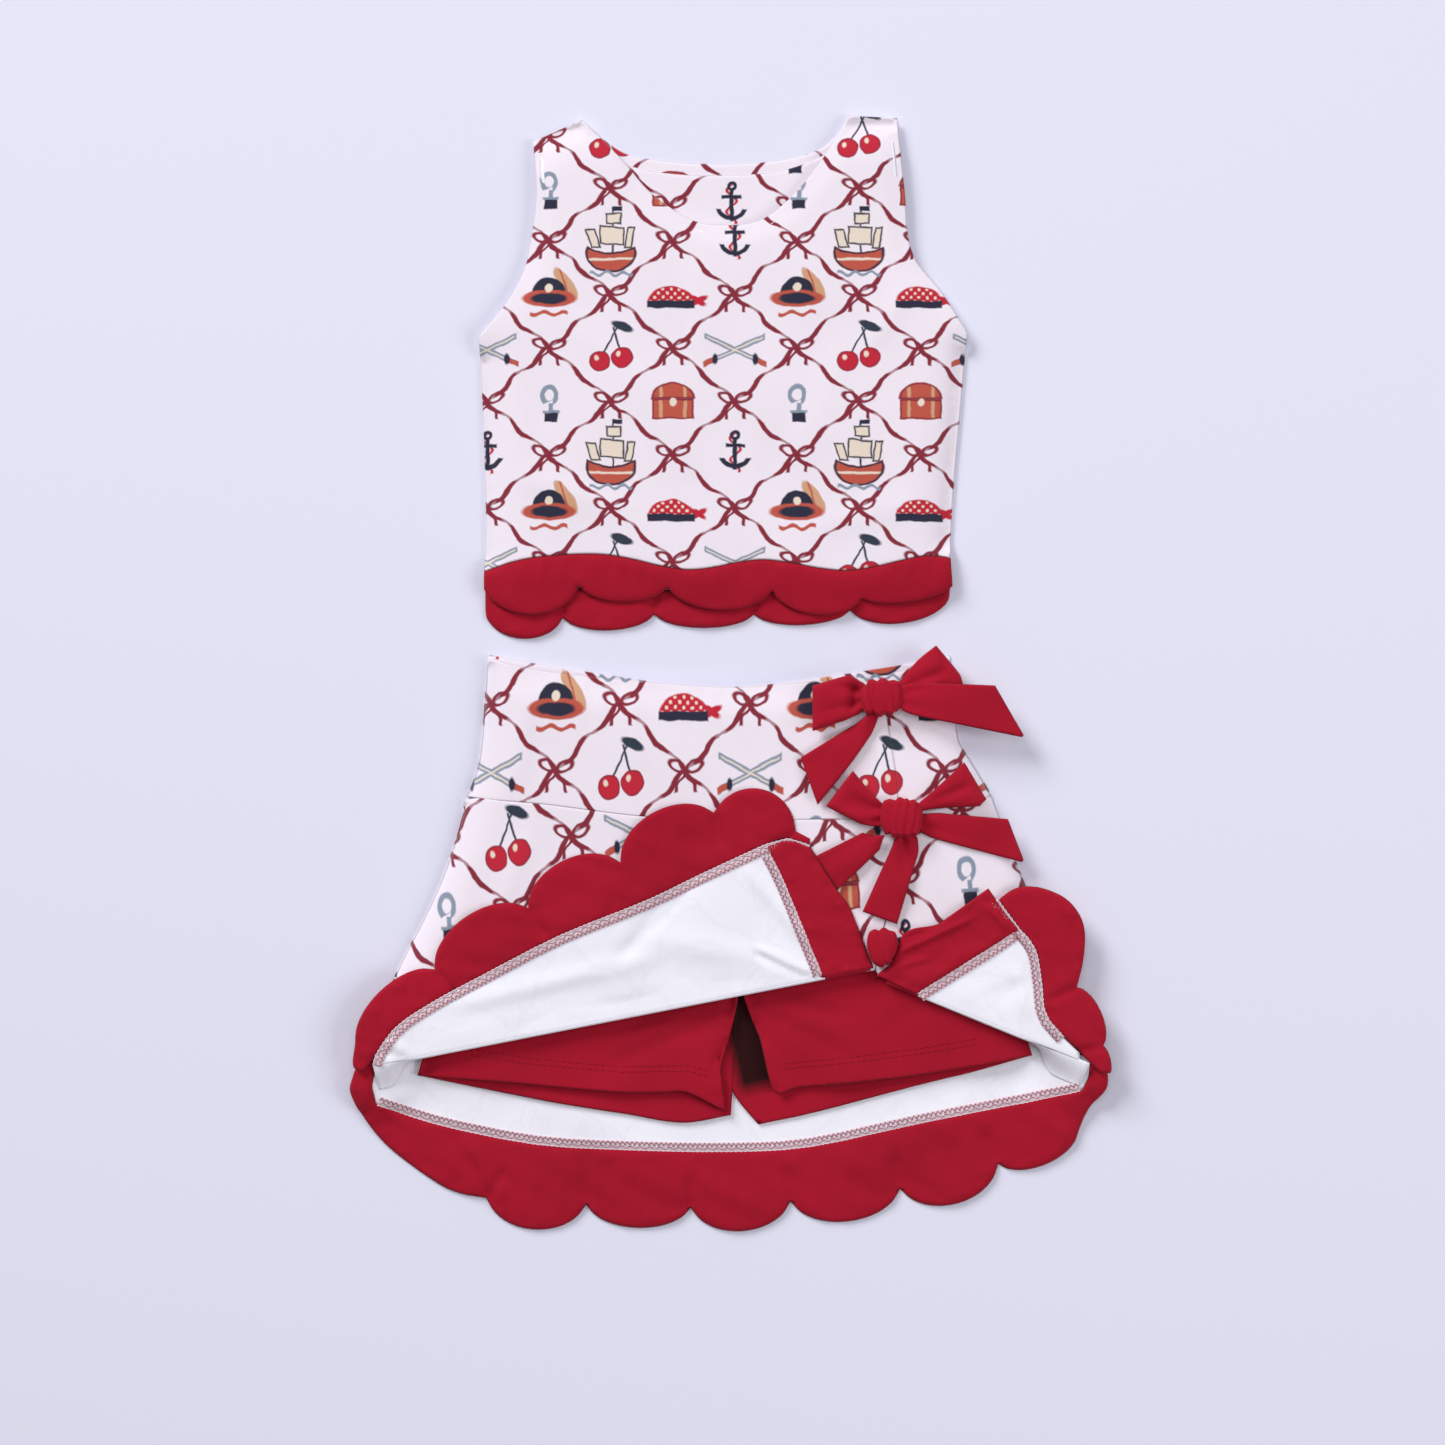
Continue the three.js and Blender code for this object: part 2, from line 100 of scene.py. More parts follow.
def lineDistance(x, y, points, closed=True):
    best = np.full(x.shape, 1e9)
    ends = np.roll(points, -1, axis=0) if closed else points[1:]
    for (ax, ay), (bx, by) in zip(points if closed else points[:-1], ends):
        dx, dy = bx - ax, by - ay
        span = max(dx * dx + dy * dy, 1e-12)
        t = np.clip(((x - ax) * dx + (y - ay) * dy) / span, 0, 1)
        best = np.minimum(best, (x - ax - t * dx) ** 2 + (y - ay - t * dy) ** 2)
    return np.sqrt(best)


def inside(x, y, points):
    hit = np.zeros(x.shape, bool)
    for (ax, ay), (bx, by) in zip(points, np.roll(points, -1, axis=0)):
        if ay == by:
            continue
        crosses = (ay > y) != (by > y)
        hit ^= crosses & (x < (bx - ax) * (y - ay) / (by - ay) + ax)
    return hit


def toFold(fold, x, y):  # along the fold line, and away from it
    angle = math.radians(folds[fold]["angle"])
    dx, dy = x - folds[fold]["start"][0], y - folds[fold]["start"][1]
    return dx * math.cos(angle) + dy * math.sin(angle), -dx * math.sin(angle) + dy * math.cos(angle)


def fromFold(fold, along, away):
    angle = math.radians(folds[fold]["angle"])
    return (folds[fold]["start"][0] + along * math.cos(angle) - away * math.sin(angle),
            folds[fold]["start"][1] + along * math.sin(angle) + away * math.cos(angle))


# Outlines of the cut pieces, read from the frame.
def signedArea(loop):
    ends = np.roll(loop, -1, axis=0)
    return (loop[:, 0] * ends[:, 1] - ends[:, 0] * loop[:, 1]).sum() / 2


def nodeOutline(node):
    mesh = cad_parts[node].data
    points = [tuple(round(c / mm, 3) for c in v.co) for v in mesh.vertices]
    low = min(p[2] for p in points)
    edges = {}
    for face in mesh.polygons:
        corners = [points[i] for i in face.vertices]
        if all(abs(c[2] - low) < 0.02 for c in corners):
            for a, b in zip(corners, corners[1:] + corners[:1]):
                a, b = a[:2], b[:2]
                if (b, a) in edges:
                    del edges[(b, a)]
                else:
                    edges[(a, b)] = True
    following = {a: b for a, b in edges}
    start = next(iter(following))
    loop, at = [start], following[start]
    while at != start and len(loop) < 5000:
        loop.append(at)
        at = following[at]
    loop = np.array(loop)
    return loop[::-1] if signedArea(loop) < 0 else loop


def turnAt(loop, i):  # how far the outline turns at one of its points
    a, b, c = loop[i - 1], loop[i], loop[(i + 1) % len(loop)]
    return math.atan2((b - a)[0] * (c - b)[1] - (b - a)[1] * (c - b)[0], (b - a) @ (c - b))


def refined(loop, step):  # curved runs are rounded, corners stay
    count = len(loop)
    corners = [abs(turnAt(loop, i)) > math.radians(cloth["cornerTurn"]) for i in range(count)]
    result = []
    for i in range(count):
        p0, p1 = loop[i - 1], loop[i]
        p2, p3 = loop[(i + 1) % count], loop[(i + 2) % count]
        length = np.linalg.norm(p2 - p1)
        pieces = max(1, int(math.ceil(length / step)))
        into = (p2 - p1) if corners[i] else (p2 - p0) / 2
        out = (p2 - p1) if corners[(i + 1) % count] else (p3 - p1) / 2
        into = into * min(1, length / max(np.linalg.norm(into), 1e-9))
        out = out * min(1, length / max(np.linalg.norm(out), 1e-9))
        for k in range(pieces):
            t = k / pieces
            result.append((2 * t ** 3 - 3 * t ** 2 + 1) * p1 + (t ** 3 - 2 * t ** 2 + t) * into
                          + (3 * t ** 2 - 2 * t ** 3) * p2 + (t ** 3 - t ** 2) * out)
    return np.array(result)


def shifted(loop, distance):  # outwards when positive
    tangent = np.roll(loop, -1, axis=0) - np.roll(loop, 1, axis=0)
    tangent /= np.maximum(np.linalg.norm(tangent, axis=1, keepdims=True), 1e-9)
    return loop + np.column_stack((tangent[:, 1], -tangent[:, 0])) * distance


def filled(loop, cell):  # rows of points along the edge, an even grid inside
    points = [loop]
    for depth in cloth["edgeRows"]:
        ring = shifted(loop, -depth)
        x, y = ring[:, 0], ring[:, 1]
        good = inside(x, y, loop) & (lineDistance(x, y, loop) > 0.9 * depth)
        points.append(ring[good])
    low, high = loop.min(axis=0), loop.max(axis=0)
    rows = np.arange(low[1], high[1], cell * 0.866)
    grid = [(x + (cell / 2 if k % 2 else 0), y) for k, y in enumerate(rows) for x in np.arange(low[0],
            high[0], cell)]
    grid = np.array(grid) if grid else np.zeros((0, 2))
    if len(grid):
        good = inside(grid[:, 0], grid[:, 1], loop)
        grid = grid[good]
        grid = grid[lineDistance(grid[:, 0], grid[:, 1], loop) > cloth["edgeRows"][-1] + 0.4 * cell]
        points.append(grid)
    everything = np.vstack(points)
    count = len(loop)
    edges = [(i, (i + 1) % count) for i in range(count)]
    made = delaunay_2d_cdt([Vector(p) for p in everything], edges, [list(range(count))], 1, 1e-5)
    return np.array([tuple(v) for v in made[0]]), [tuple(f) for f in made[2]]


# Making a piece of cloth.
finish = {}


def settle(piece, body, nodes):
    if body:
        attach(piece, body)
    if nodes:
        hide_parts(*nodes)
    return piece


def nodeOf(name):  # the frame's node that a piece stands for
    return "".join("_" + c.lower() if c.isupper() else c for c in name)


def outward(piece):  # turns its faces outwards, and leaves it selected
    bpy.ops.object.select_all(action="DESELECT")
    piece.select_set(True)
    bpy.context.view_layer.objects.active = piece
    bpy.ops.object.mode_set(mode="EDIT")
    bpy.ops.mesh.select_all(action="SELECT")
    bpy.ops.mesh.normals_make_consistent(inside=False)
    bpy.ops.object.mode_set(mode="OBJECT")


def mapCloth(mesh, places):  # where each point lies on the flat cloth
    layer = mesh.uv_layers.new(name="clothMap")
    corners = np.zeros(len(mesh.loops), dtype=np.int32)
    mesh.loops.foreach_get("vertex_index", corners)
    layer.data.foreach_set("uv", (np.asarray(places)[corners] * mm).astype(np.float32).ravel())


def newPiece(name, vertices, faces, places, materials, marks=None):
    mesh = bpy.data.meshes.new(name)
    mesh.from_pydata([tuple(v) for v in np.asarray(vertices) * mm], [],
                     [tuple(int(i) for i in f) for f in faces])
    for material in materials:
        mesh.materials.append(finish[material])
    if marks is not None:
        mesh.polygons.foreach_set("material_index", np.asarray(marks, dtype=np.int32))
    mapCloth(mesh, places)
    mesh.polygons.foreach_set("use_smooth", np.ones(len(mesh.polygons), dtype=bool))
    mesh.update()
    piece = bpy.data.objects.new(name, mesh)
    bpy.context.scene.collection.objects.link(piece)
    return piece


def sameMap(x, y):
    return x, y


def sewn(name, topAt, materials, body, thickness=cloth["panel"], bottomAt=None, rounding=0.5,
         cell=cloth["cell"], mapAt=sameMap, step=3.0, grow=cloth["grow"], printedWhere=None, drawnTo=None,
         reshaped=None,
         rimDrop=0.5):
    outline = shifted(refined(nodeOutline(nodeOf(name)), step), grow)
    if reshaped:
        outline = reshaped(outline)
    if drawnTo:  # its root is drawn into a knot
        outline = gathered(outline, *drawnTo)
    points, faces = filled(outline, cell)
    x, y = points[:, 0], points[:, 1]
    edge = lineDistance(x, y, outline)
    top = topAt(x, y, edge)
    bottom = np.maximum(bottomAt(x, y, edge) if bottomAt else top - thickness, cloth["clearance"])
    top = np.maximum(top, bottom + cloth["thinnest"])
    middle = top - (top - bottom) * rimDrop
    fullness = roll(edge, rounding)
    top, bottom = middle + (top - middle) * fullness, middle - (middle - bottom) * fullness
    rim = edge < 0.01
    under = np.where(rim, np.arange(len(points)), 0)
    under[~rim] = len(points) + np.arange((~rim).sum())
    vertices = np.vstack((np.column_stack((x, y, top)), np.column_stack((x, y, bottom))[~rim]))
    a, b, c = (points[[f[k] for f in faces]] for k in range(3))
    turning = (b - a)[:, 0] * (c - a)[:, 1] - (b - a)[:, 1] * (c - a)[:, 0]
    upper = [f if t > 0 else f[::-1] for f, t in zip(faces, turning)]
    upper = [f for f, t in zip(upper, turning) if abs(t) > 1e-9]
    lower = [tuple(under[i] for i in f[::-1]) for f in upper]
    # a triangle with all its corners on the rim has no room for two sides
    closed = [(u, l) for u, l in zip(upper, lower) if set(u) != set(l)]
    u, v = mapAt(x, y)
    uvs = np.column_stack((u, v))
    uvs = np.vstack((uvs, uvs[~rim]))
    allFaces = [u for u, _ in closed] + [l for _, l in closed]
    marks = [0] * len(closed) + [1] * len(closed)
    if printedWhere:
        middles = np.array([points[list(u)].mean(axis=0) for u, _ in closed])
        marks = list(np.where(printedWhere(middles[:, 0], middles[:, 1]), 1, 0)) + [1] * len(closed)
    piece = newPiece(name, vertices, allFaces, uvs, materials, marks)
    piece["flatArea"] = abs(signedArea(outline))
    piece["flatSize"] = flatBox(outline)
    return settle(piece, body, [nodeOf(name)])


def gathered(outline, centre, near, far, pull):
    away = outline - np.array(centre)
    reach = np.linalg.norm(away, axis=1)
    share = pull * (1 - ease(near, far, reach))
    return outline - away * share[:, None]


def pulls(*moves):  # each move: a point, and how far round it the edge is moved by how much
    def reshape(outline):
        for centre, radius, shift in moves:
            share = 1 - ease(0, radius, np.linalg.norm(outline - np.array(centre), axis=1))
            outline = outline + share[:, None] * np.array(shift)
        return outline
    return reshape


def flatBox(outline):  # smallest rectangle the cut fits in
    best = None
    for degrees in range(0, 90, 3):
        turn = math.radians(degrees)
        x = outline[:, 0] * math.cos(turn) + outline[:, 1] * math.sin(turn)
        y = outline[:, 1] * math.cos(turn) - outline[:, 0] * math.sin(turn)
        size = (float(np.ptp(x)), float(np.ptp(y)))
        if best is None or size[0] * size[1] < best[0] * best[1]:
            best = size
    return best


# Lay of the layers: each gives the height of the upper face, in millimetres.
outlines = {}


def outlineOf(node):
    if node not in outlines:
        outlines[node] = nodeOutline(node)
    return outlines[node]


def nearest(x, y, nodes):
    return np.min([lineDistance(x, y, outlineOf(n)) for n in nodes], axis=0)


seamHalf = 0.9  # from the middle of a side seam to the closed edge
backHeight = 1.15
topLay = {"low": 2.1, "rise": 6.3, "roll": 22, "ripple": 0.4, "rippleLength": 75, "hemDrop": 2.6}
skirtLay = {"low": 2.1, "high": 11.9, "roll": 22, "ripple": 0.45, "rippleLength": 85, "waistDrop": 3.2,
            "backRise": 8.4, "cornerRise": 7.5, "sides": (-236.0, 6.0)}
shortsLay = {"low": 4.2, "rise": 3.7, "roll": 16, "ripple": 0.65, "rippleLength": 48, "highest": 8.8,
             "backLift": 2.6, "cornerLift": 3.6}
flapLay = {"height": 14.75, "ripple": 1.25, "rippleLength": 84, "highest": 16.2}
mouthCorners = ((-222, -240), (222, -238))
innerCorners = ((22, -238), (-12, -256))
topCreases = [(-60, 190, -20, 120, 9, 0.9), (70, 200, 40, 120, 10, 0.8), (-130, 120, -60, 95, 8, 0.9),
              (120, 105, 50, 88, 8, 0.9), (-110, 230, -80, 190, 6, 0.8),
              (112, 236, 84, 196, 6, 0.8), (-20, 250, -10, 190, 8, 0.5)]
skirtCreases = [(-120, -10, -128, -70, 6, 0.9), (-60, -12, -52, -60, 7, 0.7), (30, -12, 26, -70, 6, 0.7),
                (-150, -90, -175, -170, 6, 1.2),
                (-120, -95, -140, -150, 7, 1.0), (120, -100, 150, -160, 8, 1.0), (84, -34, 70, -66, 4, 1.0)]
backCreases = [(-156, -280, -136, -316, 4.5, 2.6), (-172, -286, -152, -312, 4, 0.9),
               (-120, -250, -40, -290, 12, 1.3), (60, -300, 150, -262, 12, 1.4),
               (-60, -292, 20, -322, 10, 1.3), (170, -250, 214, -282, 8, 1.6), (-215, -262, -190, -250, 5,
                       1.4)]
shortsCreases = [(0, -185, -70, -216, 5, -1.9), (2, -200, -80, -240, 6, -1.5),
                 (10, -186, 70, -207, 5, -1.8), (14, -200, 84, -236, 6, -1.5),
                 (-150, -212, -90, -205, 6, -1.0), (130, -190, 90, -215, 6, -1.0)]
flapCreases = {
    "front": [(17, -164, 50, -180, 1.9, 2.4), (15, -167.5, 49, -184, 2.1, -2.4),
              (-203, -219, -189, -232, 3.0, 1.7), (-206, -226, -194, -238, 2.6, -1.5),
              (-168, -200, -40, -168, 6, 1.8), (-120, -212, 10, -186, 5, -1.8),
              (-60, -156, 50, -176, 8, 1.3), (10, -116, 46, -160, 4.5, 1.8), (-20, -120, -70, -176, 5,
                      -1.7)],
    "side": [(97, -159, 150, -134, 1.7, 2.2), (99, -167.5, 146, -146, 1.7, 2.0), (96, -176, 120, -170, 2.0,
            1.4), (154, -138, 166, -152, 2.2, 1.7),
             (112, -186, 160, -160, 6, 1.3), (150, -200, 178, -184, 5, -1.3), (170, -176, 180, -206, 4,
                     1.2)],
}


def cornerRise(x, y):
    total = np.zeros_like(x, dtype=float)
    for cx, cy in mouthCorners:
        total = np.maximum(total, 1 - ease(4, 40, np.hypot(x - cx, y - cy)))
    return total


def topBackTop(x, y, edge=None):
    return backHeight + 0.2 * ripples(x, y, 5, 60)


def topFrontTop(x, y, edge=None):
    seam = nearest(x, y, ("top_left_side_seam", "top_right_side_seam", "left_shoulder_seam",
                          "right_shoulder_seam"))
    z = topLay["low"] + topLay["rise"] * roll(seam - seamHalf, topLay["roll"])
    z += (topLay["ripple"] * ripples(x, y, 3, topLay["rippleLength"]) + creases(x, y, topCreases)) * ease(4,
            28, seam)
    if edge is not None:  # the neck and armholes ease towards the back
        z -= 1.8 * (1 - ease(0, 13, edge)) * ease(190, 250, y) * ease(2, 10, seam)
    return z


def topHemTop(x, y, edge):  # the band falls towards the back one
    low = 64 + yShift - y
    pucker = 0.5 * np.sin(x / 2.3 + 1.7 * np.sin(x / 9.0)) * (1 - ease(2, 13, low)) + 0.3 * ripples(x, y,
            21, 22)
    return topFrontTop(x, y) - topLay["hemDrop"] * ease(4, 26, low) + (0.6 + pucker) * ease(0, 4, edge)


def skirtBackTop(x, y, edge=None):
    return backHeight + 0.22 * ripples(x, y, 8, 60) + skirtLay["backRise"] * cornerRise(x,
            y) + np.maximum(0, creases(x, y, backCreases))


def crossings(nodes, low, high, side):  # how far out the pieces reach, at each height that cuts one
    found = []
    for level in np.arange(low, high, 4.0):
        best = []
        for node in nodes:
            loop = outlineOf(node)
            for (ax, ay), (bx, by) in zip(loop, np.roll(loop, -1, axis=0)):
                if (ay > level) != (by > level):
                    best.append(ax + (bx - ax) * (level - ay) / (by - ay))
        if best:
            found.append((max(best) if side > 0 else min(best), level))
    return np.array(found)


outerSides = {side: crossings(("back_yoke", "back_skirt_panel"), *skirtLay["sides"], side) for side in (-1,
        1)}
frontSides = {-1: crossings(("front_yoke", "front_skirt_panel"), *skirtLay["sides"], -1),
              1: crossings(("side_yoke", "side_skirt_panel"), *skirtLay["sides"], 1)}


def toSides(outline):  # the front is wrapped round to the side folds
    result = outline.copy()
    for side in (-1, 1):
        own = np.interp(outline[:, 1], frontSides[side][:, 1], frontSides[side][:, 0])
        outer = np.interp(outline[:, 1], outerSides[side][:, 1], outerSides[side][:, 0]) - 0.5 * side
        inward = (own - outline[:, 0]) * side
        result[:, 0] += (outer - own) * (1 - ease(0, 45, inward))
    return result


def skirtFrontTop(x, y, edge=None):
    seam = np.min([lineDistance(x, y, outerSides[side], closed=False) for side in (-1, 1)], axis=0)
    low = skirtLay["low"] + skirtLay["cornerRise"] * cornerRise(x, y)
    z = low + (skirtLay["high"] - low) * roll(seam - seamHalf, skirtLay["roll"])
    loose = ease(3, 26, seam)
    for name in folds:
        along, away = toFold(name, x, y)
        loose = loose * np.where((along > -10) & (along < folds[name]["to"] + 10),
                                 ease(2, 20, np.abs(away)), 1)
    z += (skirtLay["ripple"] * ripples(x, y, 11, skirtLay["rippleLength"]) + creases(x, y,
            skirtCreases)) * loose
    waist = -2 + yShift + 0.0007 * (x + 5) ** 2 - y - 5  # below the waist fold
    gathers = 0.32 * np.sin(x / 3.1 + 2.2 * np.sin(x / 13.0)) * (1 - ease(14, 34, waist)) * ease(0, 5,
            waist)
    return z - skirtLay["waistDrop"] * (1 - ease(-2, 20, waist)) * loose + gathers * loose


def flapTop(fold):
    def heightAt(x, y, edge=None):
        along, away = toFold(fold, x, y)
        free = ease(3, 24, away)
        z = flapLay["height"] - 0.15 * free
        z += free * flapLay["ripple"] * np.tanh(ripples(x, y, 31, flapLay["rippleLength"]))
        z += ease(1.5, 9, away) * creases(x, y, flapCreases[fold])
        lowest = skirtFrontTop(x, y) + 1.45 * free + 2.7 * (1 - free)
        return np.maximum(np.minimum(z, flapLay["highest"] + 0.2 * (z - flapLay["highest"])), lowest)
    return heightAt


def shortsBackTop(x, y, edge=None):
    return skirtBackTop(x, y) + shortsLay["backLift"]


def shortsFrontTop(x, y, edge=None):
    outer = nearest(x, y, ("shorts_left_outseam", "shorts_right_outseam"))
    inner = nearest(x, y, ("shorts_left_inseam", "shorts_right_inseam"))
    seam = np.minimum(outer, seamHalf + 5 * inner)  # the inner edges stand up steeply
    z = shortsLay["low"] + shortsLay["rise"] * roll(seam - seamHalf, shortsLay["roll"])
    uneven = shortsLay["ripple"] * ripples(x, y, 17, shortsLay["rippleLength"]) + creases(x, y,
            shortsCreases)
    z += uneven * ease(3, 16, seam)
    for cx, cy in innerCorners:  # the legs stand open here
        z += shortsLay["cornerLift"] * (1 - ease(2, 30, np.hypot(x - cx, y - cy))) * (1 - ease(0, 16, seam))
    return np.minimum(z, shortsLay["highest"])


def above(heightAt, lift):
    return lambda x, y, edge=None: heightAt(x, y) + lift


def cusps(node):  # inward corners of a scalloped edge, and the way into the band
    loop = outlineOf(node)
    found = []
    for i in range(len(loop)):
        a, b, c = loop[i - 1], loop[i], loop[(i + 1) % len(loop)]
        if turnAt(loop, i) < math.radians(cloth["cuspTurn"]):
            inward = (b - a) / np.linalg.norm(b - a) - (c - b) / np.linalg.norm(c - b)
            found.append((b, inward / max(np.linalg.norm(inward), 1e-6)))
    return found


def bandTop(heightAt, node, seed, puff=0.9, reach=21):
    strokes = [(b[0], b[1], b[0] + w[0] * reach, b[1] + w[1] * reach, 2.6, -1.9) for b, w in cusps(node)]

    def top(x, y, edge):
        seamSide = 0.45 * ripples(x, y, seed + 1, 13) * (1 - ease(2, 11, edge))
        uneven = 0.5 * np.tanh(ripples(x, y, seed, 24)) * ease(1, 6, edge)
        return heightAt(x, y) + puff * roll(edge, 7) + uneven + creases(x, y,
                strokes) + seamSide * ease(0.4, 2, edge)
    return top


print("stage: lay of the layers set")

# Shader groups.
printLook = {"column": 74.4, "row": 64.0, "startX": -70.8, "startY": 291.4, "ribbon": 1.45, "wave": 1.25,
             "picture": 1.13}
inks = {"ground": (0.86, 0.775, 0.865), "ribbon": (0.235, 0.016, 0.036), "twist": (0.50, 0.33, 0.38),
        "navy": (0.018, 0.018, 0.045), "cherry": (0.52, 0.012, 0.035),
        "brick": (0.50, 0.085, 0.055), "cream": (0.80, 0.68, 0.58), "steel": (0.24, 0.29, 0.38),
        "leaf": (0.025, 0.035, 0.06), "sand": (0.62, 0.34, 0.20)}


def startGroup(name, inputs, outputs):
    tree = bpy.data.node_groups.new(name, "ShaderNodeTree")
    for label, kind, value in inputs:
        socket = tree.interface.new_socket(label, in_out="INPUT", socket_type=kind)
        if value is not None:
            socket.default_value = value
    for label, kind in outputs:
        tree.interface.new_socket(label, in_out="OUTPUT", socket_type=kind)
    return tree, tree.nodes.new("NodeGroupInput"), tree.nodes.new("NodeGroupOutput")


def sign(operation, swapped=False):
    return lambda a, b: a.sums.do(operation, b, a) if swapped else a.sums.do(operation, a, b)


class Amount:  # a number that a shader tree works out
    def __init__(self, sums, socket):
        self.sums, self.socket = sums, socket

    __add__, __radd__ = sign("ADD"), sign("ADD", True)
    __sub__, __rsub__ = sign("SUBTRACT"), sign("SUBTRACT", True)
    __mul__, __rmul__ = sign("MULTIPLY"), sign("MULTIPLY", True)


class Sums:  # the maths of one tree
    def __init__(self, tree):
        self.tree = tree

    def of(self, socket):
        return Amount(self, socket)

    def put(self, socket, value):
        value = value.socket if isinstance(value, Amount) else value
        if hasattr(value, "is_output"):
            self.tree.links.new(value, socket)
        elif value is not None:
            socket.default_value = value

    def do(self, operation, a, b=None, c=None, clamp=False):
        node = self.tree.nodes.new("ShaderNodeMath")
        node.operation, node.use_clamp = operation, clamp
        for socket, value in zip(node.inputs, (a, b, c)):
            self.put(socket, value)
        return self.of(node.outputs[0])

    def size(self, a):
        return self.do("ABSOLUTE", a)

    def least(self, a, b):
        return self.do("MINIMUM", a, b)

    def most(self, a, b):
        return self.do("MAXIMUM", a, b)

    def soft(self, a, blur=0.35):  # 1 where a is positive
        return self.do("MULTIPLY_ADD", a, 0.5 / blur, 0.5, clamp=True)

    def wave(self, a, rate, shift=0.0):
        return self.do("SINE", self.do("MULTIPLY_ADD", a, rate, shift))

    def oval(self, x, y, cx, cy, rx, ry):  # positive inside
        dx, dy = (x - cx) * (1 / rx), (y - cy) * (1 / ry)
        far = self.do("SQRT", dx * dx + dy * dy)
        return (1.0 - far) * min(rx, ry)

    def box(self, x, y, cx, cy, halfX, halfY):
        return self.least(halfX - self.size(x - cx), halfY - self.size(y - cy))

    def line(self, a, half):  # positive near a = 0
        return half - self.size(a)

    def outlineOf(self, shape, width):  # a thin edge just inside a shape
        return self.least(shape, width - shape)

    def paint(self, under, mask, ink):
        node = self.tree.nodes.new("ShaderNodeMix")
        node.data_type = "RGBA"
        self.put(node.inputs[0], mask)
        self.put(node.inputs[6], under)
        self.put(node.inputs[7], (*inks[ink], 1) if isinstance(ink, str) else ink)
        return node.outputs[2]


